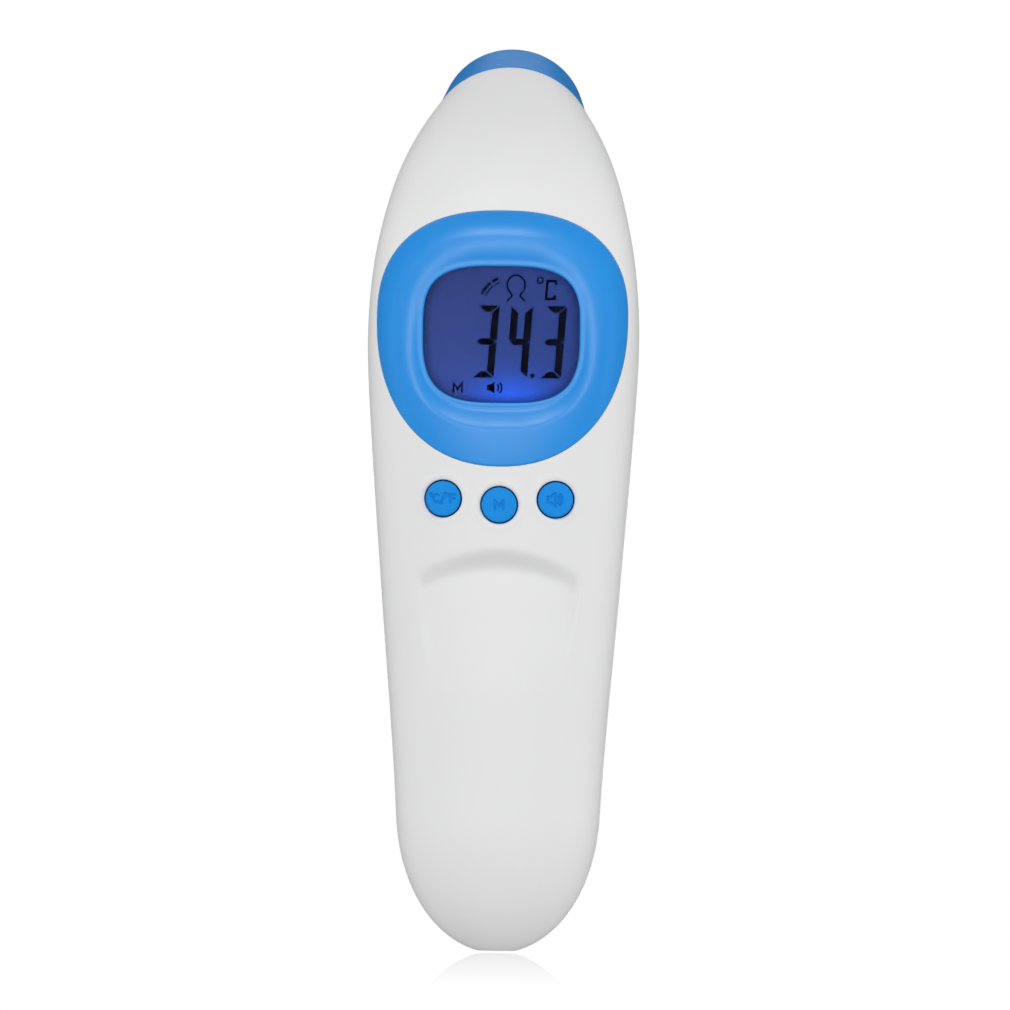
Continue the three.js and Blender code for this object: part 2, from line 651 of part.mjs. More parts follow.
function trigger() {
  const tip = 13.9 + TRIGGER.proud;
  const cap = prismAlongY(triggerOutline(0), TRIGGER_COLLAR, tip);
  const crown = new THREE.SphereGeometry(1, 16, 10).scale(TRIGGER.halfWidth + 3.2, 7.5, TRIGGER.halfHeight + 5.5);
  const rounded = cap.intersect(solid(crown.translate(0, tip - 7.5, TRIGGER.z)));
  const collar = prismAlongY(triggerOutline(1), TRIGGER_COLLAR, TRIGGER_COLLAR + 1.2);
  const stemEnd =
    BOARD_BACK + GAP + TRIGGER_SWITCH.height + TRIGGER_SWITCH.plunger + TRIGGER_TRAVEL_GAP;
  return rounded.add(collar).add(rodAlongY(1.8, 0, TRIGGER.z, stemEnd, TRIGGER_COLLAR + 1));
}

function triggerSpring() {
  const foot = BOARD_BACK + GAP + 0.45;
  const coil = bar(new Coil(5.2, 5.2, TRIGGER_COLLAR - GAP - 0.45 - foot, 4), 0.4, 48, 5);
  return geometryOf(coil).rotateX(-Math.PI / 2).translate(0, foot, TRIGGER.z);
}

// ---- Batteries and their contacts ----
function battery(x, nubUp) {
  const half = BATTERY_LENGTH / 2;
  const profile = [
    [0, -half],
    [BATTERY_RADIUS - 0.4, -half],
    [BATTERY_RADIUS, -half + 0.4],
    [BATTERY_RADIUS, half - 1.2],
    [BATTERY_RADIUS - 0.4, half - 0.8],
    [1.9, half - 0.8],
    [1.9, half],
    [0, half],
  ];
  const cell = turned(profile, 20);
  if (!nubUp) cell.rotateX(Math.PI);
  const middle = nubUp ? BAY.high - 1 - half : BAY.low + 1 + half;
  return cell.translate(x, BATTERY_Y, middle);
}

const CONTACT = { thickness: 0.4, halfWidth: 3.6, back: -0.6, front: 7.2, wire: 0.35, turns: 3.5 };

// A contact plate against one end wall of the tray; facing is +1 at the tray's foot and -1 at its top.
function contactPlate(x, halfWidth, facing) {
  const wall = facing > 0 ? BAY.low + GAP : BAY.high - GAP;
  const inner = wall + facing * CONTACT.thickness;
  return block(
    [x - halfWidth, CONTACT.back, Math.min(wall, inner)],
    [x + halfWidth, CONTACT.front, Math.max(wall, inner)],
  );
}

function contactSpring(x, facing) {
  const wall = facing > 0 ? BAY.low + GAP : BAY.high - GAP;
  const reach = BAY.high - BAY.low - 1 - BATTERY_LENGTH - GAP * 2 - CONTACT.wire;
  const coil = geometryOf(bar(new Coil(3.3, 2.1, reach, CONTACT.turns), CONTACT.wire, 35, 5));
  if (facing < 0) coil.rotateX(Math.PI);
  return solid(coil.translate(x, BATTERY_Y, wall + facing * 0.3));
}

function batteryTray() {
  const { halfWidth, low, high, floor, wall, rim } = BAY;
  const outside = block([-halfWidth - wall, floor - wall, low - wall], [halfWidth + wall, rim, high + wall]);
  const room = block([-halfWidth, floor, low], [halfWidth, rim + 5, high]);
  return outside.subtract(room).intersect(body(-WALL - 1.4 - GAP, 3));
}

// A lead from a contact at the top of the battery tray up to the back of the board.
function batteryLead(x) {
  const route = new THREE.CatmullRomCurve3([
    new THREE.Vector3(x, 6.2, BAY.high + BAY.wall + 0.9),
    new THREE.Vector3(x, 5.6, BAY.high + BAY.wall + 3),
    new THREE.Vector3(x * 0.8, 2.4, BOARD.low + 3),
    new THREE.Vector3(x * 0.8, BOARD_BACK + GAP + 0.7, BOARD.low + 5.5),
  ]);
  return bar(route, 0.55, 12, 6);
}

// A screw turned about Y with its head at the back.
function screw(x, z, seat, { head, headHeight, shank, length }) {
  const profile = [
    [0, -length],
    [shank * 0.5, -length + 0.3],
    [shank, -length + 1.4],
    [shank, 0],
    [head, 0],
    [head, headHeight * 0.6],
    [head * 0.8, headHeight],
    [0, headHeight],
  ];
  return solid(turned(profile, 12).rotateX(-Math.PI / 2).translate(x, seat, z));
}

// ---- Assembly ----
const thermometer = new THREE.Group();

function add(name, shape, material) {
  const geometry = shape instanceof THREE.BufferGeometry ? shape : geometryOf(shape);
  const mesh = new THREE.Mesh(geometry, material);
  mesh.name = name;
  thermometer.add(mesh);
}

add("front_shell", frontShell(), WHITE);
add("rear_shell", rearShell(), WHITE);
add("battery_door", batteryDoor(), WHITE);
add("probe_nozzle", probeNozzle(), BLUE);
add("probe_reflector", probeReflector(), CHROME);
add("sensor_can", sensorCan(), STEEL);
add("sensor_board", sensorBoard(), BOARD_GREEN);
add("sensor_cable", sensorCable(), HOLDER);
add("display_bezel", displayBezel(), BLUE);
add("display_lens", displayLens(), CLEAR);
add("lcd_glass", lcdGlass(), LCD);
add("backlight", backlight(), DIFFUSER);
add("contact_strip", contactStrip(), RUBBER);
add("display_holder", displayHolder(), HOLDER);
add("main_board", mainBoard(), BOARD_GREEN);
add("processor", block([3.2, BOARD_BACK + GAP, 106], [12.2, BOARD_BACK + GAP + 1.4, 115]), BLACK);
add("buzzer", rodAlongY(4.6, -7.6, 111, BOARD_BACK + GAP, BOARD_BACK + GAP + 2.4, 24), BLACK);
for (const button of BUTTONS) add(button.name, keyButton(button), BLUE);
BUTTONS.forEach(({ name, x, z }) => {
  const { size, height, plunger } = KEY_SWITCH;
  add(name.replace("button", "switch"), pushSwitch(x, z, KEY_FOOT, -1, size, height, plunger), BLACK);
});
add("trigger", trigger(), BLUE);
add("trigger_spring", triggerSpring(), STEEL);
add(
  "trigger_switch",
  pushSwitch(
    0,
    TRIGGER.z,
    BOARD_BACK + GAP,
    1,
    TRIGGER_SWITCH.size,
    TRIGGER_SWITCH.height,
    TRIGGER_SWITCH.plunger,
  ),
  BLACK,
);
add("battery_tray", batteryTray(), HOLDER);
add("battery_left", battery(-BATTERY_X, true), SLEEVE);
add("battery_right", battery(BATTERY_X, false), SLEEVE);
add("battery_plate", contactPlate(-BATTERY_X, CONTACT.halfWidth, -1), STEEL);
add(
  "battery_spring",
  contactPlate(BATTERY_X, CONTACT.halfWidth, -1).add(contactSpring(BATTERY_X, -1)),
  STEEL,
);
add(
  "battery_link",
  contactPlate(0, BATTERY_X + CONTACT.halfWidth, 1).add(contactSpring(-BATTERY_X, 1)),
  STEEL,
);
add("battery_lead_red", batteryLead(-6), RED_WIRE);
add("battery_lead_black", batteryLead(6), BLACK);
for (const { name, x, z, seat } of SCREWS) add(name, screw(x, z, seat + GAP, SCREW), STEEL);
for (const { name, x, z } of BOARD_SCREWS) {
  add(name, screw(x, z, BOARD_BACK + GAP, { head: 1.7, headHeight: 1.1, shank: 0.8, length: 5.5 }), STEEL);
}

export default thermometer;
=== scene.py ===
import math

import bpy
import numpy as np
from mathutils import Matrix, Vector
from mathutils.geometry import delaunay_2d_cdt


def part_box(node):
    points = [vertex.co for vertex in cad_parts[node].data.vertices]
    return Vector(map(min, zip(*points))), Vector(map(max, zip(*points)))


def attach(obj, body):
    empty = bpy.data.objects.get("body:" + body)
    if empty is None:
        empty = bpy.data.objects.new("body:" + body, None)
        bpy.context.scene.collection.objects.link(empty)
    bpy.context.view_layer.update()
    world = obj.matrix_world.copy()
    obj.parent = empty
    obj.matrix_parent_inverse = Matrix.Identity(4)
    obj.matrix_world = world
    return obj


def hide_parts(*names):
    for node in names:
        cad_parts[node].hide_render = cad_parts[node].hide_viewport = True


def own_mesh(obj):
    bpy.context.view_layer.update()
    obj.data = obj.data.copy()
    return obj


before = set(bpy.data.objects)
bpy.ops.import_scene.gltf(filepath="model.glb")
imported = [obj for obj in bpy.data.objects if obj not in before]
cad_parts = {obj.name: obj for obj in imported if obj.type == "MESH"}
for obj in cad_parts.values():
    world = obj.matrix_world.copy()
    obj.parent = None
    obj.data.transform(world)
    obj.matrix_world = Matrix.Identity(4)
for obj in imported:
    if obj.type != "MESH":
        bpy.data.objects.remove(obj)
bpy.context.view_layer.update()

# Shapes are worked out in millimetres, in the row's frame, and made into meshes in metres.
MM = 0.001


def box_mm(node):
    low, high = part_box(node)
    return np.array(low) / MM, np.array(high) / MM


def centre_mm(node):
    low, high = box_mm(node)
    return (low + high) / 2


def xyz(x, y, z):
    """Rows of points from their three columns."""
    return np.stack([x, y, z], axis=1)


# Materials.


def feed(tree, socket, value):
    """Links a socket to a node's output, or sets it to a plain value."""
    if isinstance(value, bpy.types.NodeSocket):
        tree.links.new(value, socket)
    else:
        socket.default_value = value


def add_node(tree, kind, inputs, operation=None):
    """A new shader node, whose inputs are given by name or number as values or other nodes' outputs."""
    node = tree.nodes.new("ShaderNode" + kind)
    if operation:
        node.operation = operation
    for socket, value in inputs.items():
        feed(tree, node.inputs[socket], value)
    return node


class Material:
    """A node material with a Principled shader, and short helpers for the nodes that feed it."""

    def __init__(self, name, roughness, **settings):
        self.material = bpy.data.materials.new(name)
        self.material.use_nodes = True
        self.tree = self.material.node_tree
        self.shader = self.tree.nodes["Principled BSDF"]
        self.set("Roughness", roughness)
        for socket, value in settings.items():
            self.set(socket.replace("_", " "), value)
        self.place = self.tree.nodes.new("ShaderNodeTexCoord").outputs["Object"]

    def set(self, socket, value):
        feed(self.tree, self.shader.inputs[socket], value)

    def noise(self, size_mm, detail=2.0):
        """Noise whose blotches are about size_mm across."""
        inputs = {"Scale": 1 / (size_mm * MM), "Detail": detail, "Vector": self.place}
        return add_node(self.tree, "TexNoise", inputs).outputs["Fac"]

    def spread(self, value, low, high, from_low=0.3, from_high=0.7):
        """Value's usual range, mapped to low..high."""
        inputs = {"From Min": from_low, "From Max": from_high, "To Min": low, "To Max": high, "Value": value}
        return add_node(self.tree, "MapRange", inputs).outputs["Result"]

    def mix(self, factor, first, second):
        """A colour between two colours or colour outputs."""
        node = self.tree.nodes.new("ShaderNodeMix")
        node.data_type = "RGBA"
        feed(self.tree, node.inputs["Factor"], factor)
        for socket, colour in ((node.inputs[6], first), (node.inputs[7], second)):
            feed(self.tree, socket, (*colour, 1) if isinstance(colour, tuple) else colour)
        return node.outputs[2]

    def bump(self, height, depth_mm, normal=None):
        inputs = {"Strength": 1.0, "Distance": depth_mm * MM, "Height": height}
        if normal:
            inputs["Normal"] = normal
        return add_node(self.tree, "Bump", inputs).outputs["Normal"]

    def axis(self, name):
        """The X, Y or Z of the place, in metres."""
        return add_node(self.tree, "SeparateXYZ", {"Vector": self.place}).outputs[name]

    def math(self, operation, first, second=0.0):
        return add_node(self.tree, "Math", {0: first, 1: second}, operation).outputs[0]


def moulded_plastic(name, colour, shade, roughness, grain_mm=0.3, grain_depth=0.0012, **settings):
    """Plastic with a fine spark-eroded grain, slow colour drift and uneven polish."""
    made = Material(name, roughness, **settings)
    drift = made.spread(made.noise(18, 3), 0.0, 1.0)
    made.set("Base Color", made.mix(drift, colour, shade))
    polish = made.noise(2.5, 4)
    made.set("Roughness", made.spread(polish, roughness - 0.03, roughness + 0.04))
    grain = made.bump(made.noise(grain_mm, 2), grain_depth)
    made.set("Normal", made.bump(made.noise(7, 2), 0.006, grain))
    return made.material


def metal(name, colour, roughness, scratch_mm=0.3):
    made = Material(name, roughness, Metallic=1.0)
    worn = made.spread(made.noise(1.5, 5), 0.0, 1.0)
    made.set("Base Color", made.mix(worn, colour, tuple(c * 0.86 for c in colour)))
    made.set("Roughness", made.spread(made.noise(0.8, 4), roughness * 0.7, roughness * 1.4))
    made.set("Normal", made.bump(made.noise(scratch_mm, 3), 0.003))
    return made.material


def circuit_board():
    made = Material("solder_mask", 0.35)
    traces = made.tree.nodes.new("ShaderNodeTexBrick")
    traces.inputs["Scale"].default_value = 1 / (4 * MM)
    traces.inputs["Mortar Size"].default_value = 0.05
    made.tree.links.new(made.place, traces.inputs["Vector"])
    made.set("Base Color", made.mix(traces.outputs["Fac"], (0.01, 0.16, 0.06), (0.03, 0.3, 0.12)))
    made.set("Normal", made.bump(traces.outputs["Fac"], 0.03))
    made.set("Roughness", made.spread(made.noise(1, 3), 0.28, 0.42))
    return made.material


def battery_sleeve():
    """A plain shrunk sleeve with a darker band at each end."""
    made = Material("cell_sleeve", 0.28, Metallic=0.6)
    height = made.math("SUBTRACT", made.axis("Z"), 45 * MM)
    end = made.math("GREATER_THAN", made.math("ABSOLUTE", height), 14 * MM)
    body = made.mix(made.spread(made.noise(6, 3), 0, 1), (0.62, 0.64, 0.66), (0.52, 0.54, 0.57))
    made.set("Base Color", made.mix(end, body, (0.03, 0.12, 0.09)))
    made.set("Normal", made.bump(made.noise(3, 3), 0.01))
    return made.material


def clear_plastic():
    made = Material("clear_window", 0.01, IOR=1.06, Transmission_Weight=1.0)
    made.set("Base Color", made.mix(made.noise(9, 2), (0.97, 0.98, 1.0), (1.0, 1.0, 1.0)))
    return made.material


WHITE = moulded_plastic(
    "white_shell", (0.80, 0.80, 0.803), (0.787, 0.788, 0.79), 0.45, Specular_IOR_Level=0.35
)
# Painted light and shade: one blue plastic in two copies, painted lighter on the bezel and painted darker on
# the nozzle and trigger.
LIGHTENED_BEZEL_BLUE = moulded_plastic(
    "blue_satin_lightened", (0.006, 0.292, 0.82), (0.005, 0.278, 0.79), 0.38, grain_depth=0.0006, Specular_IOR_Level=0.8
)
SHADED_BLUE = moulded_plastic(
    "blue_probe_shaded", (0.005, 0.25, 0.71), (0.004, 0.235, 0.68), 0.38, grain_depth=0.0006, Specular_IOR_Level=0.7
)
KEY_BLUE = moulded_plastic(
    "blue_key", (0.006, 0.27, 0.77), (0.005, 0.256, 0.74), 0.5, Specular_IOR_Level=0.15
)
HOLDER = moulded_plastic("inner_plastic", (0.72, 0.72, 0.69), (0.66, 0.66, 0.63), 0.5)
BLACK = moulded_plastic("black_plastic", (0.02, 0.02, 0.022), (0.03, 0.03, 0.032), 0.5)
RED = moulded_plastic("red_insulation", (0.5, 0.03, 0.02), (0.42, 0.02, 0.015), 0.45)
RUBBER = moulded_plastic("contact_rubber", (0.08, 0.08, 0.09), (0.16, 0.16, 0.17), 0.75)
DIFFUSER = moulded_plastic("light_guide", (0.55, 0.65, 0.95), (0.45, 0.55, 0.9), 0.4)
STEEL = metal("plated_steel", (0.62, 0.62, 0.63), 0.3)
CHROME = metal("chrome_cup", (0.86, 0.86, 0.87), 0.07)
BOARD = circuit_board()
SLEEVE = battery_sleeve()
CLEAR = clear_plastic()

# Mesh helpers.


def facing_out(vertices, faces):
    """The faces of a closed mesh, turned round if they point inwards."""
    v = np.asarray(vertices, float)
    volume = 0.0
    for face in faces:
        for b, c in zip(face[1:-1], face[2:]):
            volume += np.dot(v[face[0]], np.cross(v[b], v[c]))
    return faces if volume > 0 else [tuple(reversed(f)) for f in faces]


def mesh_piece(name, parts, material, body="casing", replaces=(), smooth_angle=35):
    """A piece riding on a body, from one or more closed (vertices, faces) in millimetres."""
    vertices, faces = [], []
    for part_vertices, part_faces in parts:
        start = len(vertices)
        vertices += np.asarray(part_vertices, float).tolist()
        faces += [tuple(int(i) + start for i in f) for f in facing_out(part_vertices, part_faces)]
    mesh = bpy.data.meshes.new(name)
    mesh.from_pydata((np.array(vertices) * MM).tolist(), [], faces)
    mesh.validate()
    mesh.materials.append(material)
    piece = bpy.data.objects.new(name, mesh)
    bpy.context.scene.collection.objects.link(piece)
    mesh.shade_smooth()
    mesh.set_sharp_from_angle(angle=math.radians(smooth_angle))
    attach(piece, body)
    for node in replaces:
        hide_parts(node)
    return piece


def numbered(rings, columns):
    """The vertex numbers of rings of as many points, ring by ring."""
    return [list(range(i * columns, (i + 1) * columns)) for i in range(rings)]


def skin(rows):
    """Faces between successive closed rows of vertex numbers; a row can be one vertex repeated."""
    faces = []
    for low, high in zip(rows, rows[1:]):
        for j in range(len(low)):
            face = tuple(dict.fromkeys([low[j - 1], low[j], high[j], high[j - 1]]))
            if len(face) > 2:
                faces.append(face)
    return faces


def around(count):
    """Angles of evenly spaced points of a full turn."""
    return np.linspace(0, 2 * math.pi, count, endpoint=False)


def turned(profile, columns, to_row):
    """A closed solid turned from a profile of (radius, height).

    The profile starts and ends on the axis, or at the same point."""
    vertices, rows = [], []
    closed = profile[0] == profile[-1] and profile[0][0] > 0
    for radius, height in profile[:-1] if closed else profile:
        start = len(vertices)
        if radius < 1e-6:
            vertices.append((0, 0, height))
            rows.append([start] * columns)
            continue
        vertices += [(radius * math.cos(t), radius * math.sin(t), height) for t in around(columns)]
        rows.append(list(range(start, start + columns)))
    if closed:
        rows.append(rows[0])
    return to_row(np.array(vertices, float)), skin(rows)


def smooth_line(points, steps=5):
    """A smooth curve through points, as a Catmull-Rom curve."""
    p = np.array([points[0], *points, points[-1]], float)
    made = []
    for a, b, c, d in zip(p, p[1:], p[2:], p[3:]):
        for t in np.arange(steps) / steps:
            made.append(b + 0.5 * t * (c - a + t * (2 * a - 5 * b + 4 * c - d + t * (3 * (b - c) + d - a))))
    made.append(p[-1])
    return [tuple(q) for q in made]


def tube(path, radius, columns=10):
    """A round wire along a path."""
    path = np.asarray(path, float)
    ahead = np.gradient(path, axis=0)
    ahead /= np.linalg.norm(ahead, axis=1)[:, None]
    side = np.cross(ahead[0], [0.3, 0.5, 0.81])
    turns = around(columns)[:, None]
    rings = []
    for point, direction in zip(path, ahead):
        side = side - np.dot(side, direction) * direction
        side /= np.linalg.norm(side)
        other = np.cross(direction, side)
        rings.append(point + radius * (np.cos(turns) * side + np.sin(turns) * other))
    vertices = np.vstack(rings + [path[:1], path[-1:]])
    end = len(vertices) - 1
    return vertices, skin([[end - 1] * columns, *numbered(len(path), columns), [end] * columns])


# The outer skin.
# Egg-shaped sections along a spine that is straight in the handle and leans back in the head.

RING_CENTRE = np.array([0, 27, 143.4])
RING_RADIUS = 14.5
NOZZLE_TILT = math.radians(25)
PROBE_AXIS = np.array([0, math.cos(NOZZLE_TILT), math.sin(NOZZLE_TILT)])
BEND_START = 102
SPINE = [
    np.array([0, 0, BEND_START]),
    np.array([0, 0, BEND_START + 26]),
    RING_CENTRE - PROBE_AXIS * 13,
    RING_CENTRE,
]
DOME_HEIGHT = 24
DOME_FLAT = 0.45
PARTING_BEHIND = 1.2
PARTING_GAP = 0.12
WALL = 2.2

# Share of the spine's length, half width, depth in front, depth behind, power of the outline.
SECTIONS = np.array([
    [0, 17.8, 11.8, 12.6, 2.2],
    [0.16, 18.1, 12.1, 12.9, 2.3],
    [0.42, 21.2, 13, 13.6, 2.4],
    [0.6, 23.3, 13.9, 13.8, 2.6],
    [0.7, 24.0, 14.2, 13.6, 2.7],
    [0.78, 23.2, 14.8, 13.4, 2.7],
    [0.86, 20.9, 15.4, 13.6, 2.4],
    [0.93, 18.1, 14.9, 14, 2.15],
    [1, RING_RADIUS, RING_RADIUS, RING_RADIUS, 2],
])


def spine_bend():
    """Points, directions and lengths along the bent part of the spine."""
    t = np.linspace(0, 1, 401)[:, None]
    a, b, c, d = SPINE
    points = (1 - t) ** 3 * a + 3 * (1 - t) ** 2 * t * b + 3 * (1 - t) * t**2 * c + t**3 * d
    along = (1 - t) ** 2 * (b - a) + 2 * (1 - t) * t * (c - b) + t**2 * (d - c)
    lengths = np.concatenate([[0], np.cumsum(np.linalg.norm(np.diff(points, axis=0), axis=1))])
    return points, along / np.linalg.norm(along, axis=1)[:, None], lengths


def section_values(share):
    """Smooth values between the rows of SECTIONS, as a Catmull-Rom curve through each column."""
    last = len(SECTIONS) - 1
    at = int(np.clip(np.searchsorted(SECTIONS[:, 0], share, side="right") - 1, 0, last - 1))
    before, low, high, after = (SECTIONS[int(np.clip(at + k, 0, last))] for k in (-1, 0, 1, 2))
    span = high[0] - low[0]
    t = (share - low[0]) / span
    slope_in = (high - before) / (high[0] - before[0])
    slope_out = (after - low) / (after[0] - low[0])
    values = (
        (2 * t**3 - 3 * t**2 + 1) * low
        + (t**3 - 2 * t**2 + t) * span * slope_in
        + (3 * t**2 - 2 * t**3) * high
        + (t**3 - t**2) * span * slope_out
    )
    return values[1:]


def skin_table():
    """Distances along the spine, and the values there.

    These are columns of the centre's y and z, the direction's y and z, and what SECTIONS holds."""
    points, along, lengths = spine_bend()
    total = BEND_START + lengths[-1]
    distances = np.linspace(0, total, 1200)
    bent = np.maximum(distances - BEND_START, 0)
    columns = [np.interp(bent, lengths, points[:, 1]), np.interp(bent, lengths, points[:, 2])]
    columns[1] = np.where(bent > 0, columns[1], distances)
    columns += [np.interp(bent, lengths, along[:, 1]), np.interp(bent, lengths, along[:, 2])]
    values = np.array([section_values(min(d / total, 1)) for d in distances])
    return distances, [*columns, *values.T]


SKIN_AT, SKIN_COLUMNS = skin_table()
SPINE_LENGTH = SKIN_AT[-1]


def sections(distance, offset=0.0):
    """Centre y and z, direction y and z, half width, depths in front and behind and power at distances."""
    at = np.asarray(distance, float)
    cy, cz, ay, az, half, front, back, power = (np.interp(at, SKIN_AT, c) for c in SKIN_COLUMNS)
    from_top = np.maximum(0, DOME_HEIGHT - at) / (DOME_HEIGHT + DOME_FLAT + offset)
    dome = np.sqrt(np.maximum(0, 1 - from_top**2))
    return cy, cz, ay, az, (half + offset) * dome, (front + offset) * dome, (back + offset) * dome, power


def half_grid(distances, front, shares, offset=0.0):
    """Points of the front or rear half of the skin, by row and by share of the way round.

    The way round runs from the +X seam to the -X seam."""
    ahead = PARTING_BEHIND + (-PARTING_GAP if front else PARTING_GAP)
    rows = []
    for cy, cz, ay, az, half, fore, aft, power in zip(*sections(distances, offset)):
        seam = math.asin(min(1.0, ahead / max(aft, 1e-6)) ** (power / 2))
        turns = np.linspace(-seam, math.pi + seam if front else seam - math.pi, 700)
        x = np.sign(np.cos(turns)) * np.abs(np.cos(turns)) ** (2 / power) * half
        rise = np.sign(np.sin(turns)) * np.abs(np.sin(turns)) ** (2 / power)
        depth = rise * np.where(rise > 0, fore, aft)
        arc = np.concatenate([[0], np.cumsum(np.hypot(np.diff(x), np.diff(depth)))])
        wanted = shares * arc[-1]
        d = np.interp(wanted, arc, depth)
        rows.append(xyz(np.interp(wanted, arc, x), cy - az * d, cz + ay * d))
    return np.array(rows)


def skin_place(x, z, front, offset=0.0):
    """Distance along the spine, and y, where the front or rear skin is at each x and z."""
    x, z = np.broadcast_arrays(np.asarray(x, float), np.asarray(z, float))
    low, high = np.zeros(x.shape), np.full(x.shape, SPINE_LENGTH)
    for _ in range(34):
        middle = (low + high) / 2
        cy, cz, ay, az, half, fore, aft, power = sections(middle, offset)
        within = np.maximum(0, 1 - (np.abs(x) / np.maximum(half, 1e-6)) ** power)
        reach = (fore if front else -aft) * within ** (1 / power)
        below = cz + ay * reach < z
        low, high = np.where(below, middle, low), np.where(below, high, middle)
    return middle, cy - az * reach


def front_y(x, z, offset=0.0):
    return skin_place(x, z, True, offset)[1]


def rear_y(x, z, offset=0.0):
    return skin_place(x, z, False, offset)[1]


# Outlines seen from the front.
BEZEL = {"z": 111.8, "half_width": 22.2, "up": 19.2, "down": 25.9, "up_power": 2.43, "down_power": 2.2}
WINDOW = {"z": 110, "half_width": 13.85, "up": 11.2, "down": 12.9, "up_power": 3.25, "down_power": 3.25}


def egg_points(egg, turns):
    """Points (x, z) of an egg-shaped outline at angles from +X."""
    upper = np.sin(turns) > 0
    power = np.where(upper, egg["up_power"], egg["down_power"])
    across = np.sign(np.cos(turns)) * np.abs(np.cos(turns)) ** (2 / power)
    rise = np.sign(np.sin(turns)) * np.abs(np.sin(turns)) ** (2 / power)
    reach = np.where(upper, egg["up"], egg["down"])
    return np.stack([across * egg["half_width"], egg["z"] + rise * reach], axis=1)


def arc_lengths(closed_points):
    return np.concatenate([[0], np.cumsum(np.linalg.norm(np.diff(closed_points, axis=0), axis=1))])


def even_outline(points, count):
    """A closed outline resampled to evenly spaced points."""
    closed = np.vstack([points, points[:1]])
    arc = arc_lengths(closed)
    wanted = np.linspace(0, arc[-1], count, endpoint=False)
    return np.stack([np.interp(wanted, arc, closed[:, k]) for k in range(2)], axis=1)


def grown(points, distance):
    """A closed anticlockwise outline moved outwards."""
    ahead = np.roll(points, -1, axis=0) - np.roll(points, 1, axis=0)
    normal = np.stack([ahead[:, 1], -ahead[:, 0]], axis=1)
    return points + distance * normal / np.linalg.norm(normal, axis=1)[:, None]


FULL_TURN = around(2880)


def egg_outline(egg, grow, count):
    return grown(even_outline(egg_points(egg, FULL_TURN), count), grow)


def circle_outline(x, z, radius, count=48):
    turns = around(count)
    return np.stack([x + radius * np.cos(turns), z + radius * np.sin(turns)], axis=1)


def round_rectangle(low, high, corner, count):
    """An evenly sampled rectangle from low to high (x, z) with round corners, anticlockwise."""
    corners = [
        (high[0] - corner, low[1] + corner, -90),
        (high[0] - corner, high[1] - corner, 0),
        (low[0] + corner, high[1] - corner, 90),
        (low[0] + corner, low[1] + corner, 180),
    ]
    points = []
    for x, z, start in corners:
        for turn in np.radians(np.linspace(start, start + 90, 24)):
            points.append((x + corner * math.cos(turn), z + corner * math.sin(turn)))
    return even_outline(np.array(points), count)


def inside(outline, x, z):
    """Whether points (x, z) lie in a closed outline."""
    hit = np.zeros(len(x), bool)
    for (x1, z1), (x2, z2) in zip(outline, np.roll(outline, -1, axis=0)):
        if z1 == z2:
            continue
        crosses = (z1 > z) != (z2 > z)
        hit ^= crosses & (x < x1 + (z - z1) * (x2 - x1) / (z2 - z1))
    return hit


def fill(points, edges):
    """Triangles of a constrained Delaunay triangulation, as rows of indices into points."""
    made = delaunay_2d_cdt([Vector(p) for p in points], edges, [], 0, 1e-6, True)
    origin = [group[0] for group in made[3]]
    return [tuple(origin[i] for i in face) for face in made[2]]


def closed_sheet(outer, inner, faces):
    """One closed mesh from a sheet's outer points and the inner points behind them."""
    used = sorted({i for f in faces for i in f})
    index = {v: k for k, v in enumerate(used)}
    count = len(used)
    top = [tuple(index[i] for i in f) for f in faces]
    edges = {(a, b) for f in top for a, b in zip(f, f[1:] + f[:1])}
    rim = [(a, b) for a, b in edges if (b, a) not in edges]
    made = top + [tuple(i + count for i in reversed(f)) for f in top]
    made += [(b, a, a + count, b + count) for a, b in rim]
    return np.vstack([np.asarray(outer)[used], np.asarray(inner)[used]]), made


EDGE_ROUND = 0.3
FILLET_AT = np.array([0, 0.06, 0.16, EDGE_ROUND])


def fillet(distance, radius=EDGE_ROUND):
    """Depth of a rounded edge at a distance back from it."""
    d = np.clip(distance, 0, radius)
    return radius - np.sqrt(np.maximum(0, radius**2 - (radius - d) ** 2))


def plate(outline, top, bottom, step, edge=EDGE_ROUND, facing=-1):
    """A plate with a rounded edge, between y = top(x, z) and y = bottom(x, z).

    facing is -1 when top is the face towards -Y, and 1 when it is the face towards +Y."""
    loops = [(outline, fillet(0, edge))]
    for back in (0.2 * edge, 0.53 * edge, edge):
        loops.append((grown(outline, -back), fillet(back, edge)))
    x, z, depth, edges = [], [], [], []
    for loop, sunk in loops:
        start = len(x)
        count = len(loop)
        x += loop[:, 0].tolist()
        z += loop[:, 1].tolist()
        depth += [sunk] * count
        edges += [(start + i, start + (i + 1) % count) for i in range(count)]
    spans = zip(outline.min(axis=0), outline.max(axis=0))
    lines = [np.arange(low, high, step) + (high - low) % step / 2 for low, high in spans]
    grid_x, grid_z = (g.ravel() for g in np.meshgrid(*lines))
    keep = inside(grown(outline, -edge - step * 0.5), grid_x, grid_z)
    x = np.concatenate([x, grid_x[keep]])
    z = np.concatenate([z, grid_z[keep]])
    depth = np.concatenate([depth, np.zeros(keep.sum())])
    triangles = fill(np.stack([x, z], axis=1), edges)
    centre_x, centre_z = x[np.array(triangles)].mean(axis=1), z[np.array(triangles)].mean(axis=1)
    triangles = [t for t, is_in in zip(triangles, inside(outline, centre_x, centre_z)) if is_in]
    outer = xyz(x, top(x, z) - facing * depth, z)
    return closed_sheet(outer, xyz(x, bottom(x, z), z), triangles)


def flat(y):
    return lambda x, z: np.full(np.shape(x), float(y))


# The white shells.

THUMB = {"top": 71.6, "low": 46.0, "half_width": 14.2, "depth": 2.9}


def smooth(value, low, high):
    t = np.clip((value - low) / (high - low), 0, 1)
    return t * t * (3 - 2 * t)


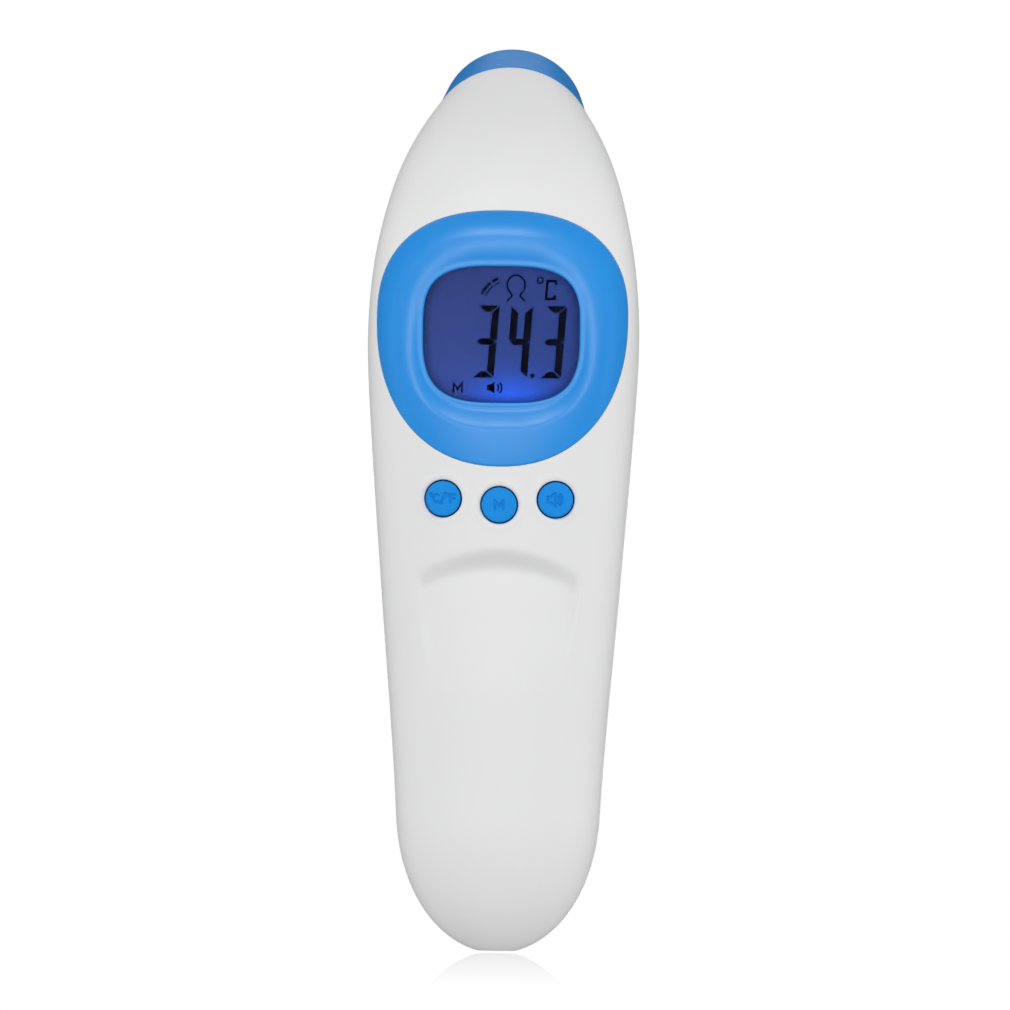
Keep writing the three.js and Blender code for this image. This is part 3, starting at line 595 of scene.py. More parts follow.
def thumb_depth(x, z):
    """How far the thumb rest is pressed in: steep under its arched top, fading to nothing down the handle."""
    arch = THUMB["top"] - 3.5 * (x / 13) ** 2
    under_arch = smooth(arch - z, 0, 4.2)
    side = THUMB["half_width"] - 0.115 * np.maximum(0, 66 - z)
    within = smooth(side - np.abs(x), -0.7, 1.1)
    fade = np.clip((z - THUMB["low"]) / (THUMB["top"] - THUMB["low"]), 0, 1) ** 1.3
    crown = 1 - 0.3 * np.clip(np.abs(x) / THUMB["half_width"], 0, 1) ** 2
    return THUMB["depth"] * under_arch * within * fade * crown


GIRTH = 62  # usual length of half a section, which makes the flattened sheet's two axes alike
ROW_STEP = 0.65
TIGHT_RIM = [(0, 0.1), (0.04, 0.03), (0.1, 0), (0.3, -0.03)]
PLAIN_RIM = [(0, 0.3), (0.06, 0.12), (0.16, 0.035), (0.3, 0)]
HALO_RIM = PLAIN_RIM + [(0.55, -0.07), (0.85, -0.09), (1.2, -0.02), (1.5, 0)]


def rounded_grid(front):
    """Rows and columns of half the casing's grid, and its points on the outer skin and the inner one.

    The outer points are drawn in where the half's edges are rounded."""
    edge = FILLET_AT / GIRTH
    middle = np.linspace(0.012, 0.988, 104)
    columns = np.concatenate([edge, middle, 1 - edge[::-1]])
    dome = DOME_HEIGHT * (1 - np.cos(np.linspace(0, math.pi / 2, 28)))
    plain = np.arange(DOME_HEIGHT + ROW_STEP, SPINE_LENGTH - 0.8, ROW_STEP)
    rows = np.concatenate([dome, plain, SPINE_LENGTH - FILLET_AT[::-1]])
    outer = half_grid(rows, front, columns)
    normal = np.cross(np.gradient(outer, axis=1), np.gradient(outer, axis=0))
    normal /= np.linalg.norm(normal, axis=2)[:, :, None]
    column_back = np.concatenate([FILLET_AT, np.full(len(middle), 9.0), FILLET_AT[::-1]])
    sunk = np.maximum(fillet(column_back)[None, :], fillet(SPINE_LENGTH - rows)[:, None])
    behind = half_grid(rows, front, columns, -WALL)
    inward = np.sign(np.sum(normal * (behind - outer), axis=2))[:, :, None]
    outer += normal * inward * sunk[:, :, None]
    inner = half_grid(np.maximum(rows, WALL), front, columns, -WALL)
    return rows, columns, outer.reshape(-1, 3), inner.reshape(-1, 3)


def rim_points(loop, front, depth):
    """A loop round a hole, sunk by depth on the outer skin, on the inner skin, and on the flattened sheet."""
    distance, y = skin_place(loop[:, 0], loop[:, 1], front)
    inner_y = skin_place(loop[:, 0], loop[:, 1], front, -WALL)[1]
    outer_y = y + (depth if front else -depth)
    shares = np.linspace(0.06, 0.94, 500)
    strips = half_grid(distance, front, shares)
    share = np.array([np.interp(-x, -strip[:, 0], shares) for x, strip in zip(loop[:, 0], strips)])
    flattened = np.stack([share * GIRTH, distance], axis=1)
    return xyz(loop[:, 0], outer_y, loop[:, 1]), xyz(loop[:, 0], inner_y, loop[:, 1]), flattened


def half_shell(front, holes, first_row, last_row, dent=None):
    """One half of the casing as a closed mesh, with holes cut in it.

    holes are (outline in x and z, rim of (distance back from the edge, depth)). Outside the rows from
    first_row to last_row (mm) it is a plain grid, and between them the grid is joined to the holes' rims."""
    rows, columns, outer, inner = rounded_grid(front)
    width = len(columns)
    flat_at = np.stack(np.meshgrid(columns * GIRTH, rows), axis=2).reshape(-1, 2)
    first, last = int(np.searchsorted(rows, first_row)), int(np.searchsorted(rows, last_row))
    faces = []
    for i in [*range(first), *range(last, len(rows) - 1)]:
        for a in range(i * width, (i + 1) * width - 1):
            faces.append((a, a + 1, a + width + 1, a + width))

    loops = []
    for hole, rim in holes:
        for back, depth in rim:
            on_outer, on_inner, flattened = rim_points(grown(hole, back), front, depth)
            loops.append(list(range(len(outer), len(outer) + len(hole))))
            outer, inner = np.vstack([outer, on_outer]), np.vstack([inner, on_inner])
            flat_at = np.vstack([flat_at, flattened])
    grid = np.arange(first * width, (last + 1) * width)
    keep = np.ones(len(grid), bool)
    for hole, rim in holes:
        keep &= ~inside(grown(hole, rim[-1][0] + 0.35), outer[grid, 0], outer[grid, 2])
    on_border = (grid % width == 0) | (grid % width == width - 1)
    on_border |= (grid < (first + 1) * width) | (grid >= last * width)
    used = [*grid[keep | on_border].tolist(), *(i for loop in loops for i in loop)]
    index = {v: k for k, v in enumerate(used)}
    edges = [(index[a], index[b]) for loop in loops for a, b in zip(loop, loop[1:] + loop[:1])]
    triangles = [tuple(used[i] for i in t) for t in fill(flat_at[used], edges)]
    centres = outer[np.array(triangles)].mean(axis=1)
    open_here = np.zeros(len(triangles), bool)
    for hole, _ in holes:
        open_here |= inside(hole, centres[:, 0], centres[:, 2])
    turn_over = np.cross(flat_at[1] - flat_at[0], flat_at[width] - flat_at[0]) < 0
    for t, is_open in zip(triangles, open_here):
        if not is_open:
            faces.append(tuple(reversed(t)) if turn_over else t)

    hub = len(outer)
    outer = np.vstack([outer, (outer[0] + outer[width - 1]) / 2])
    inner = np.vstack([inner, (inner[0] + inner[width - 1]) / 2])
    faces += [(hub, j + 1, j) for j in range(width - 1)]
    if dent:
        depth = dent(outer[:, 0], outer[:, 2]) * (outer[:, 1] < 0)
        outer[:, 1] += depth
        inner[:, 1] += depth
    return closed_sheet(outer, inner, faces)


BUTTON_RADIUS = 3.1
BUTTON_GAP = 0.24
BUTTON_NODES = ["unit_button", "memory_button", "sound_button"]


def front_casing():
    holes = [(egg_outline(BEZEL, 0.02, 220), TIGHT_RIM)]
    for node in BUTTON_NODES:
        x, _, z = centre_mm(node)
        holes.append((circle_outline(x, z, BUTTON_RADIUS + BUTTON_GAP, 60), HALO_RIM))
    shell = half_shell(True, holes, 72, 138, thumb_depth)
    mesh_piece("front_casing", [shell], WHITE, replaces=["front_shell"])


DOOR_GAP = 0.2
SCREW_NODES = [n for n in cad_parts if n.startswith("shell_screw")]
SCREW_WELL = 2.4


def door_outline():
    low, high = box_mm("battery_door")
    return round_rectangle((low[0], low[2]), (high[0], high[2]), 6, 190)


def trigger_outline():
    """The trigger's cap; the CAD node's collar is 1 mm wider all round."""
    low, high = box_mm("trigger")
    return round_rectangle((low[0] + 1, low[2] + 1), (high[0] - 1, high[2] - 1), 6, 96)


def ring_wall(outer_outline, inner_outline, near, far):
    """A closed ring between two outlines with as many points, from y = near(x, z) to y = far(x, z)."""
    rings = [(outer_outline, near), (inner_outline, near), (inner_outline, far), (outer_outline, far)]
    vertices = [xyz(o[:, 0], y(o[:, 0], o[:, 1]), o[:, 1]) for o, y in rings]
    rows = numbered(len(rings), len(outer_outline))
    return np.vstack(vertices), skin([*rows, rows[0]])


def rear_casing():
    holes = [(grown(door_outline(), DOOR_GAP), PLAIN_RIM), (grown(trigger_outline(), 0.25), PLAIN_RIM)]
    for node in SCREW_NODES:
        x, _, z = centre_mm(node)
        holes.append((circle_outline(x, z, SCREW_WELL, 40), PLAIN_RIM))
    parts = [half_shell(False, holes, 8, 119)]
    mouth = round_rectangle((-11.5, 15.5), (11.5, 70), 3, 190)
    outer = grown(door_outline(), 1.6)
    start = np.argmin(np.linalg.norm(mouth - outer[0], axis=1))
    mouth = np.roll(mouth, -start, axis=0)
    parts.append(ring_wall(outer, mouth, lambda x, z: rear_y(x, z, -2.1), lambda x, z: rear_y(x, z, -3.6)))
    for node in SCREW_NODES:
        x, _, z = centre_mm(node)
        seat = box_mm(node)[1][1] - 1.5
        wells = circle_outline(x, z, SCREW_WELL, 40), circle_outline(x, z, SCREW_WELL + 0.9, 40)
        parts.append(ring_wall(wells[1], wells[0], lambda x, z: rear_y(x, z, -WALL + 0.1), flat(seat)))
        floor = circle_outline(x, z, 1.35, 40)
        parts.append(ring_wall(wells[1], floor, flat(seat - 0.02), flat(seat - 1.2)))
    mesh_piece("rear_casing", parts, WHITE, replaces=["rear_shell"])


def grip_grooves(x, z):
    """Depth of the door's three finger grooves, near its top edge."""
    depth = np.zeros(np.shape(x))
    for level in (64.6, 61.8, 59.0):
        across = smooth(6.5 - np.abs(x), -0.4, 0.8)
        depth = np.maximum(depth, 0.55 * across * np.clip(1 - ((z - level) / 0.75) ** 2, 0, 1) ** 0.7)
    return depth


def battery_door():
    panel = plate(
        door_outline(),
        lambda x, z: rear_y(x, z) - grip_grooves(x, z),
        lambda x, z: rear_y(x, z, -1.8),
        0.55,
        facing=1,
    )
    parts = [panel]
    low, high = box_mm("battery_door")
    for x in (-6, 6):
        tab = round_rectangle((x - 2, low[2] + 3), (x + 2, low[2] + 4.4), 0.5, 40)
        parts.append(plate(tab, lambda x, z: rear_y(x, z, -1.7), flat(9.2), 0.8, 0.05, 1))
    latch = round_rectangle((-5, high[2] - 5.4), (5, high[2] - 4), 0.5, 60)
    parts.append(plate(latch, lambda x, z: rear_y(x, z, -1.7), flat(9.6), 0.8, 0.05, 1))
    mesh_piece("battery_cover", parts, WHITE, "battery_door", ["battery_door"])


# The display.

LENS_FRONT = -11.6
LENS_THICKNESS = 1.2
BEZEL_BACK = -3.8
WINDOW_MIDDLE = 109.5  # height of the window's middle
WINDOW_HALF = 14, 12.5  # about half its width and height


def bezel_face(share, x, z):
    """A small lip round the window, a shallow channel up to a crest, and a flank that falls to the skin."""
    ridge = 0.44 + 0.09 * smooth(z, 104, 124)
    crest = (front_y(x, z, 0.9) - 13.6) / 2 + 0.6 * smooth(np.abs(x), 3, 17)
    outer = front_y(x, z, 0.1)
    lip = LENS_FRONT - 0.7
    falling = np.clip((share - ridge) / (1 - ridge), 0, 1) ** 1.6
    rising = smooth(share, 0.05, ridge) - 0.08 * smooth(share, 0.04, 0.1) * (1 - smooth(share, 0.1, 0.22))
    y = np.where(share >= ridge, crest + (outer - crest) * falling, lip + (crest - lip) * rising)
    edge = fillet((1 - share) * 8.2, 0.22) + fillet(share * 8.2, 0.3)
    return y + edge


def bezel():
    whole_turn = np.append(FULL_TURN, 2 * math.pi)
    arc = arc_lengths(egg_points(BEZEL, whole_turn))
    columns = 260
    turns = np.interp(np.linspace(0, arc[-1], columns, endpoint=False), arc, whole_turn)
    window, rim = egg_points(WINDOW, turns), egg_points(BEZEL, turns)
    near_edges = [0, 0.007, 0.02, 0.04], [0.957, 0.975, 0.99, 1]
    face_shares = np.concatenate([near_edges[0], np.linspace(0.06, 0.94, 34), near_edges[1]])
    rings = []
    for share in face_shares[::-1]:
        place = window + (rim - window) * share
        rings.append((place, bezel_face(share, place[:, 0], place[:, 1])))
    for share in (0, 0.2):
        place = window + (rim - window) * share
        rings.append((place, np.full(columns, LENS_FRONT - 0.3)))
    for share in (0.3, 0.6, 0.97):
        place = window + (rim - window) * share
        rings.append((place, np.minimum(bezel_face(share, place[:, 0], place[:, 1]) + 1.4, BEZEL_BACK)))
    rings.append((rim, np.maximum(rings[0][1] + 1.4, BEZEL_BACK)))
    vertices = np.vstack([xyz(p[:, 0], y, p[:, 1]) for p, y in rings])
    rows = numbered(len(rings), columns)
    ring = vertices, skin([*rows, rows[0]])
    mesh_piece("bezel_ring", [ring], LIGHTENED_BEZEL_BLUE, replaces=["display_bezel"])


def lens():
    def face(x, z):
        away = (x / WINDOW_HALF[0]) ** 2 + ((z - WINDOW_MIDDLE) / WINDOW_HALF[1]) ** 2
        middle = 1 - np.clip(away, 0, 1)
        return LENS_FRONT - 0.2 * middle

    window = plate(egg_outline(WINDOW, 1.3, 160), face, flat(LENS_FRONT + LENS_THICKNESS), 1.5, 0.2)
    mesh_piece("display_window", [window], CLEAR, replaces=["display_lens"])


def lcd_material():
    """A lit negative-blue panel: brightest low in the middle, with painted shade darkening it towards the
    window's edge.
    """
    made = Material("lcd_panel", 0.3, Specular_IOR_Level=0.0)

    def share(axis, middle, reach):
        away = made.math("SUBTRACT", made.axis(axis), middle * MM)
        return made.math("DIVIDE", away, reach * MM)

    x = share("X", 0, WINDOW_HALF[0])
    z = share("Z", WINDOW_MIDDLE, WINDOW_HALF[1])
    # Painted shade: the panel's light is dimmed towards the window's edge, standing in for the shadow at the
    # window's inner edge.
    power = [made.math("POWER", made.math("ABSOLUTE", v), WINDOW["up_power"]) for v in (x, z)]
    edge = made.spread(made.math("ADD", *power), 0.0, 0.9, 0.62, 1.05)
    squares = [made.math("MULTIPLY", v, v) for v in (share("X", 1.8, 7), share("Z", 96.8, 4.6))]
    glow = made.math("EXPONENT", made.math("MULTIPLY", made.math("ADD", *squares), -1.0))
    high = made.spread(z, 0.0, 1.0, -1.0, 1.0)
    plain = made.mix(high, (0.034, 0.066, 0.3), (0.024, 0.045, 0.18))
    across = made.spread(x, 0.0, 0.75, -0.6, 1.0)
    plain = made.mix(across, plain, (0.014, 0.042, 0.22))
    lit = made.mix(glow, plain, (0.018, 0.13, 0.95))
    edge_shaded = made.mix(edge, lit, (0.006, 0.009, 0.05))
    mottled = made.mix(made.spread(made.noise(3, 3), 0.0, 0.08), edge_shaded, (0.02, 0.03, 0.12))
    made.set("Emission Color", mottled)
    made.set("Emission Strength", 1.0)
    made.set("Base Color", (0.01, 0.012, 0.03, 1))
    made.set("Normal", made.bump(made.noise(0.3, 2), 0.001))
    return made.material


LCD_FRONT = LENS_FRONT + LENS_THICKNESS + 0.3


def lcd_panel():
    low, high = box_mm("lcd_glass")
    outline = round_rectangle((low[0], low[2]), (high[0], high[2]), 0.4, 160)
    glass = plate(outline, flat(low[1]), flat(high[1]), 2.0, 0.15)
    mesh_piece("lcd_panel", [glass], lcd_material(), replaces=["lcd_glass"])


def ribbon(points, width, closed=False):
    """The flat outline of a line of that width through points, with mitred corners."""
    p = np.asarray(points, float)
    if closed:
        ahead = np.roll(p, -1, axis=0) - p
        behind = p - np.roll(p, 1, axis=0)
    else:
        steps = np.diff(p, axis=0)
        ahead = np.vstack([steps, steps[-1:]])
        behind = np.vstack([steps[:1], steps])
    ahead /= np.linalg.norm(ahead, axis=1)[:, None]
    behind /= np.linalg.norm(behind, axis=1)[:, None]
    middle = ahead + behind
    middle /= np.linalg.norm(middle, axis=1)[:, None]
    stretch = 1 / np.maximum(np.sum(middle * ahead, axis=1), 0.5)
    side = np.stack([-middle[:, 1], middle[:, 0]], axis=1) * (stretch * width / 2)[:, None]
    return p + side, p - side


def stroke(points, width, near, far, closed=False):
    """A thin raised line as a closed mesh."""
    left, right = ribbon(points, width, closed)
    count = len(left)
    vertices = [(x, y, z) for y in (near, far) for side in (left, right) for x, z in side]
    rows = [[i, i + count, i + 3 * count, i + 2 * count] for i in range(count)]
    if closed:
        return vertices, skin([*rows, rows[0]])
    return vertices, [tuple(reversed(rows[0])), *skin(rows), tuple(rows[-1])]


def slab(outline, near, far):
    """A thin flat shape in x and z as a closed mesh."""
    rows = numbered(2, len(outline))
    vertices = np.array([(x, y, z) for y in (near, far) for x, z in outline])
    return vertices, [tuple(rows[0]), *skin(rows), tuple(reversed(rows[1]))]


def arc_points(x, z, radius, start, end, steps, squeeze=1.0):
    """Points of an arc from start to end, in degrees, made narrower by squeeze."""
    turns = np.radians(np.linspace(start, end, steps))
    return np.stack([x + radius * squeeze * np.cos(turns), z + radius * np.sin(turns)], axis=1)


SEGMENTS_LIT = {"3": "abcdg", "4": "bcfg"}
FIGURE_LOW = 101.5
FIGURE_HEIGHT = 12.75
FIGURE_WIDTH = 3.8
FIGURE_SLANT = math.tan(math.radians(4.3))
BAR = 1.15  # thickness of a figure's level segments
POST = 1.3  # thickness of its upright segments
SEGMENT_GAP = 0.13


def figure_segments(digit, left):
    """Outlines of a seven-segment figure's lit segments, with mitred ends and a slant."""
    w, h, bar, post, gap = FIGURE_WIDTH, FIGURE_HEIGHT, BAR, POST, SEGMENT_GAP
    half = h / 2
    top = [(gap, h), (w - gap, h), (w - gap - post, h - bar), (gap + post, h - bar)]
    upright = [(w, h - gap), (w, half + gap), (w - post, half + bar / 2 + gap), (w - post, h - bar - gap)]
    corner = gap + post * 0.6
    upper_edge = [(gap + 0.1, half), (corner, half + bar / 2), (w - corner, half + bar / 2)]
    shapes = {
        "a": top,
        "b": upright,
        "c": [(x, h - z) for x, z in upright],
        "d": [(x, h - z) for x, z in top],
        "f": [(w - x, z) for x, z in upright],
        "g": upper_edge + [(w - x, h - z) for x, z in upper_edge],
    }
    lit = [shapes[name] for name in SEGMENTS_LIT[digit]]
    return [[(left + x + z * FIGURE_SLANT, FIGURE_LOW + z) for x, z in shape] for shape in lit]


def speaker(x, z, size):
    """Outline of a small loudspeaker, and its waves as arcs."""
    box = [(-0.5, -0.3), (-0.2, -0.3), (0.25, -0.62), (0.25, 0.62), (-0.2, 0.3), (-0.5, 0.3)]
    body = [(x + px * size, z + pz * size) for px, pz in box]
    waves = [arc_points(x + 0.15 * size, z, r * size, -42, 42, 8) for r in (0.5, 0.82)]
    return body, waves


def lcd_ink():
    made = Material("lcd_figures", 0.5, Specular_IOR_Level=0.0)
    made.set("Base Color", made.mix(made.noise(0.5, 2), (0.0015, 0.0015, 0.006), (0.003, 0.003, 0.012)))
    return made.material


def lcd_figures():
    near, far = LCD_FRONT - 0.08, LCD_FRONT - 0.02
    parts = []
    for digit, left in (("3", -5.15), ("4", 0.75), ("3", 6.75)):
        parts += [slab(outline, near, far) for outline in figure_segments(digit, left)]
    parts.append(slab(circle_outline(5.5, 101.9, 0.42, 20), near, far))
    parts.append(stroke(circle_outline(6.7, 118.8, 0.5, 24), 0.28, near, far, True))
    top, low = 118.7, 115.5
    unit = [(9.5, top - 0.7), (9.5, top), (8.0, top), (7.75, low), (9.25, low), (9.28, low + 0.7)]
    parts.append(stroke(unit, 0.45, near, far))
    shoulders = [(4.15, 115.0), (3.2, 115.9)], [(1.7, 115.9), (0.75, 115.0)]
    head = arc_points(2.45, 117.9, 1.75, -60, 240, 26, 0.9)
    parts.append(stroke(np.vstack([shoulders[0], head, shoulders[1]]), 0.3, near, far))
    for radius, width in ((4.5, 0.5), (3.8, 0.22)):
        for start, end in ((108, 124), (128, 160)):
            ray = arc_points(0.7, 114.7, radius, start, end, 8)
            parts.append(stroke(ray, width, near, far))
    memory = [(-8.4, 98.8), (-8.4, 100.5), (-7.65, 99.4), (-6.9, 100.5), (-6.9, 98.8)]
    parts.append(stroke(memory, 0.4, near, far))
    body, waves = speaker(-1.6, 99.75, 1.75)
    parts.append(slab(body, near, far))
    parts += [stroke(wave, 0.3, near, far) for wave in waves]
    mesh_piece("lcd_figures", parts, lcd_ink(), smooth_angle=20)


# Buttons and trigger.


def distance_to(lines, x, z):
    """Distance from each point to the nearest of several lines through points."""
    nearest = np.full(np.shape(x), 1e9)
    for line in lines:
        for a, b in zip(np.asarray(line, float), np.asarray(line, float)[1:]):
            run = b - a
            t = np.clip(((x - a[0]) * run[0] + (z - a[1]) * run[1]) / max(run @ run, 1e-12), 0, 1)
            nearest = np.minimum(nearest, np.hypot(x - a[0] - t * run[0], z - a[1] - t * run[1]))
    return nearest


def unit_legend():
    """A degree C over degree F mark, about its own centre."""
    return [
        arc_points(-2.15, 0.62, 0.2, 0, 360, 20),
        arc_points(-1.15, 0, 0.68, 55, 305, 14, 0.85),
        [(-0.35, -0.85), (0.25, 0.85)],
        arc_points(0.62, 0.62, 0.2, 0, 360, 20),
        [(1.25, -0.7), (1.25, 0.68), (2.15, 0.68)],
        [(1.25, 0.02), (1.95, 0.02)],
    ]


def memory_legend():
    return [[(-0.75, -0.75), (-0.75, 0.75), (0, -0.25), (0.75, 0.75), (0.75, -0.75)]]


def sound_legend():
    body, waves = speaker(-0.45, 0, 1.75)
    return [body + body[:1], *waves]


LEGENDS = {"unit_button": unit_legend, "memory_button": memory_legend, "sound_button": sound_legend}


def y_turned(profile, x, z, columns):
    """A solid turned about a line along Y; the profile is (radius, y)."""

    def to_row(points):
        return xyz(x + points[:, 0], points[:, 2], z - points[:, 1])

    return turned(profile, columns, to_row)


def key(node):
    low, high = box_mm(node)
    x, _, z = centre_mm(node)
    face = low[1]
    lines = [np.asarray(line) + (x, z) for line in LEGENDS[node]()]

    def top(px, pz):
        from_middle = np.hypot(px - x, pz - z) / BUTTON_RADIUS
        crown = 0.12 * from_middle**2
        legend = smooth(0.24 - distance_to(lines, px, pz), 0, 0.12)
        return face + 0.08 + crown + 0.24 * legend

    collar = {"unit_button": -8.3, "memory_button": -10.5, "sound_button": -8.3}[node]
    cap = plate(circle_outline(x, z, BUTTON_RADIUS, 72), top, flat(collar + 0.3), 0.1, 0.32)
    stem = [(0, high[1]), (1.3, high[1]), (1.3, collar + 0.8)]
    flange = [(3.9, collar + 0.8), (4.1, collar + 0.6), (4.1, collar), (0, collar)]
    base = y_turned([*stem, *flange], x, z, 40)
    mesh_piece(node + "_cap", [cap, base], KEY_BLUE, node, [node])


def trigger():
    low, high = box_mm("trigger")
    x, _, z = centre_mm("trigger")
    tip = high[1]

    def top(px, pz):
        crown = 1.5 * (px / 6.5) ** 2 + 2.1 * np.abs((pz - z) / 11) ** 2.4
        ridges = 0.0
        for level in (-4.2, -1.4, 1.4, 4.2):
            groove = np.clip(1 - ((pz - z - level) / 0.7) ** 2, 0, 1) ** 0.8
            ridges = ridges + 0.4 * groove * smooth(4.3 - np.abs(px), -0.5, 0.7)
        return tip - crown - ridges

    cap = plate(trigger_outline(), top, flat(9.4), 0.4, 0.9, 1)
    collar = plate(grown(trigger_outline(), 1), flat(10.4), flat(9.2), 2.0, 0.2, 1)
    stem = y_turned([(0, low[1]), (1.6, low[1]), (1.8, low[1] + 0.2), (1.8, 9.6), (0, 9.6)], x, z, 32)
    mesh_piece("trigger_cap", [cap, collar, stem], SHADED_BLUE, "trigger", ["trigger"])


def coil(radius_start, radius_end, length, turns, steps_per_turn=28):
    """A spring's centreline about Z from 0 to length, with its first and last turns closed up."""
    t = np.linspace(0, 1, int(turns * steps_per_turn) + 1)
    rise = smooth(t, 0, 1) * 0.45 + t * 0.55
    radius = radius_start + (radius_end - radius_start) * t
    turn = 2 * math.pi * turns * t
    return xyz(radius * np.cos(turn), radius * np.sin(turn), rise * length)


def trigger_spring():
    low, high = box_mm("trigger_spring")
    x, _, z = centre_mm("trigger_spring")
    path = coil(5.2, 5.2, high[1] - low[1] - 0.8, 4.5)
    path = xyz(x + path[:, 0], low[1] + 0.4 + path[:, 2], z + path[:, 1])
    spring = mesh_piece("return_spring", [tube(path, 0.4)], STEEL, "casing", ["trigger_spring"])
    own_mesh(spring)


# The probe.


def on_probe(points):
    """From the probe's own axes, with Z outwards from the end of the white head, to the row's."""
    up = np.array([0, -PROBE_AXIS[2], PROBE_AXIS[1]])
    return RING_CENTRE + points[:, :1] * [1, 0, 0] + points[:, 1:2] * up + points[:, 2:] * PROBE_AXIS


def probe():
    spigot = RING_RADIUS - WALL - 0.3
    wall = [(RING_RADIUS - 0.35, 0.18), (RING_RADIUS - 0.12, 0.4), (14.1, 2.2), (13.6, 5)]
    lip = [(12.9, 9.4), (12.5, 11.6), (12.05, 12.75), (11.3, 13.3), (10.7, 13.25), (10.1, 12.85), (9.5, 11.8)]
    outside = smooth_line(wall + lip, 6)
    cone = [(8.0, 5.0), (6.7, 4.6), (6.7, 2.6), (spigot - 1.6, 1.6)]
    profile = [(spigot - 1.6, -3.5), (spigot, -3.5), (spigot, 0.18), *outside, *cone, (spigot - 1.6, -3.5)]
    nozzle = turned(profile, 128, on_probe)
    mesh_piece("nozzle_cone", [nozzle], SHADED_BLUE, replaces=["probe_nozzle"], smooth_angle=30)
    bowl = [(6.1, 4.4), (5.6, 4.1), (4.6, 1.4), (3.7, -1.0), (2.9, -3.0), (2.6, -4.2), (2.6, -4.6)]
    rim = [(2.6, -4.6), (6.4, -4.6), (6.4, 4.3), (6.3, 4.4)]
    reflector = turned([*rim, *smooth_line(bowl, 5)], 96, on_probe)
    mesh_piece("mirror_cup", [reflector], CHROME, replaces=["probe_reflector"])
    base = [(0, -9.6), (4.6, -9.6), (4.6, -9.15), (4.5, -9.1)]
    can = [(4.1, -9.1), (4.1, -5.6), (4.0, -5.3), (3.7, -5.1)]
    window = [(1.9, -5.1), (1.9, -5.35), (0, -5.35)]
    sensor = turned([*base, *can, *window], 64, on_probe)
    mesh_piece("sensor_housing", [sensor], STEEL, replaces=["sensor_can"])


# Screws, cells and contacts.


def rear_screw(node, head_radius):
    """A pan-head screw with a cross recess, seen from behind."""
    low, high = box_mm(node)
    x, _, z = centre_mm(node)
    crown = high[1]
    seat = crown - (1.5 if head_radius > 2 else 1.1)
    reach = head_radius * 0.62

    def top(px, pz):
        dx, dz = np.abs(px - x), np.abs(pz - z)
        arm = np.maximum(np.maximum(dx, dz) - reach, np.minimum(dx, dz) - 0.26)
        dome = 0.45 * (np.hypot(dx, dz) / head_radius) ** 2
        return crown - dome - 0.7 * smooth(-arm, -0.06, 0.2)

    head = plate(circle_outline(x, z, head_radius, 48), top, flat(seat), 0.11, 0.2, 1)
    shank = [(0, low[1]), (0.5, low[1] + 0.3), (1.0, low[1] + 1.4)]
    y = low[1] + 1.4
    while y < seat - 1:
        shank += [(1.05, y + 0.15), (0.78, y + 0.42), (0.78, y + 0.52)]
        y += 0.8
    shank += [(0.9, seat - 0.3), (0.9, seat + 0.1), (0, seat + 0.1)]
    mesh_piece(node + "_bolt", [head, y_turned(shank, x, z, 24)], STEEL, replaces=[node])


def cell(node, nub_up):
    low, high = box_mm(node)
    x, y, z = centre_mm(node)
    half = (high[2] - low[2]) / 2
    bottom = [(0, -half + 0.25), (3.9, -half + 0.25), (4.1, -half), (4.6, -half)]
    bottom += [(5.0, -half + 0.15), (5.2, -half + 0.5)]
    top = [(5.2, half - 1.3), (5.05, half - 1.0), (4.6, half - 0.9), (4.5, half - 1.05), (2.4, half - 1.05)]
    nub = [(2.1, half - 0.95), (1.95, half - 0.7), (1.9, half - 0.15), (1.75, half), (0, half)]
    sign = 1 if nub_up else -1

    def to_row(points):
        return xyz(x + points[:, 0], y + sign * points[:, 1], z + sign * points[:, 2])

    solid = turned([*bottom, *top, *nub], 64, to_row)
    mesh_piece(node + "_cell", [solid], SLEEVE, replaces=[node])


def contact(node, coil_x, facing):
    """A spring contact: a sprung leaf against the tray's end and a conical coil."""
    low, high = box_mm(node)
    _, y, _ = centre_mm("battery_left")
    wall = low[2] if facing > 0 else high[2]
    near, far = sorted((wall, wall + facing * 0.4))
    leaf = round_rectangle((low[0], -0.6), (high[0], 7.2), 0.8, 60)
    lying, faces = slab(leaf, near, far)
    upright = lying[:, [0, 2, 1]]
    path = coil(3.3, 2.1, high[2] - low[2] - 0.4 - 0.7, 4)
    path = xyz(coil_x + path[:, 0], y + path[:, 1], wall + facing * (0.7 + path[:, 2]))
    mesh_piece(node + "_coil", [(upright, faces), tube(path, 0.35)], STEEL, replaces=[node])


# What stays as the CAD made it.

CAD_FINISH = {
    DIFFUSER: ["backlight"],
    HOLDER: ["display_holder", "battery_tray", "sensor_cable"],
    BOARD: ["main_board", "sensor_board"],
    BLACK: [
        *("processor", "buzzer", "battery_lead_black"),
        *("unit_switch", "memory_switch", "sound_switch", "trigger_switch"),
    ],
    RED: ["battery_lead_red"],
    STEEL: ["battery_plate", "board_screw_left", "board_screw_right"],
    RUBBER: ["contact_strip"],
}


def finish_cad_nodes():
    for material, nodes in CAD_FINISH.items():
        for name in nodes:
            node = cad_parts[name]
            node.data.materials.clear()
            node.data.materials.append(material)


# The studio.


FLOOR_HALF = 9
FLOOR_HEIGHT = -0.0003
FLOOR_MIRROR = 0.34
MIRROR_REACH = 0.175
WORLD_LIGHT = 0.53
WORLD_GLOSS = 0.06
MIDDLE = Vector((0, 0, 0.08))


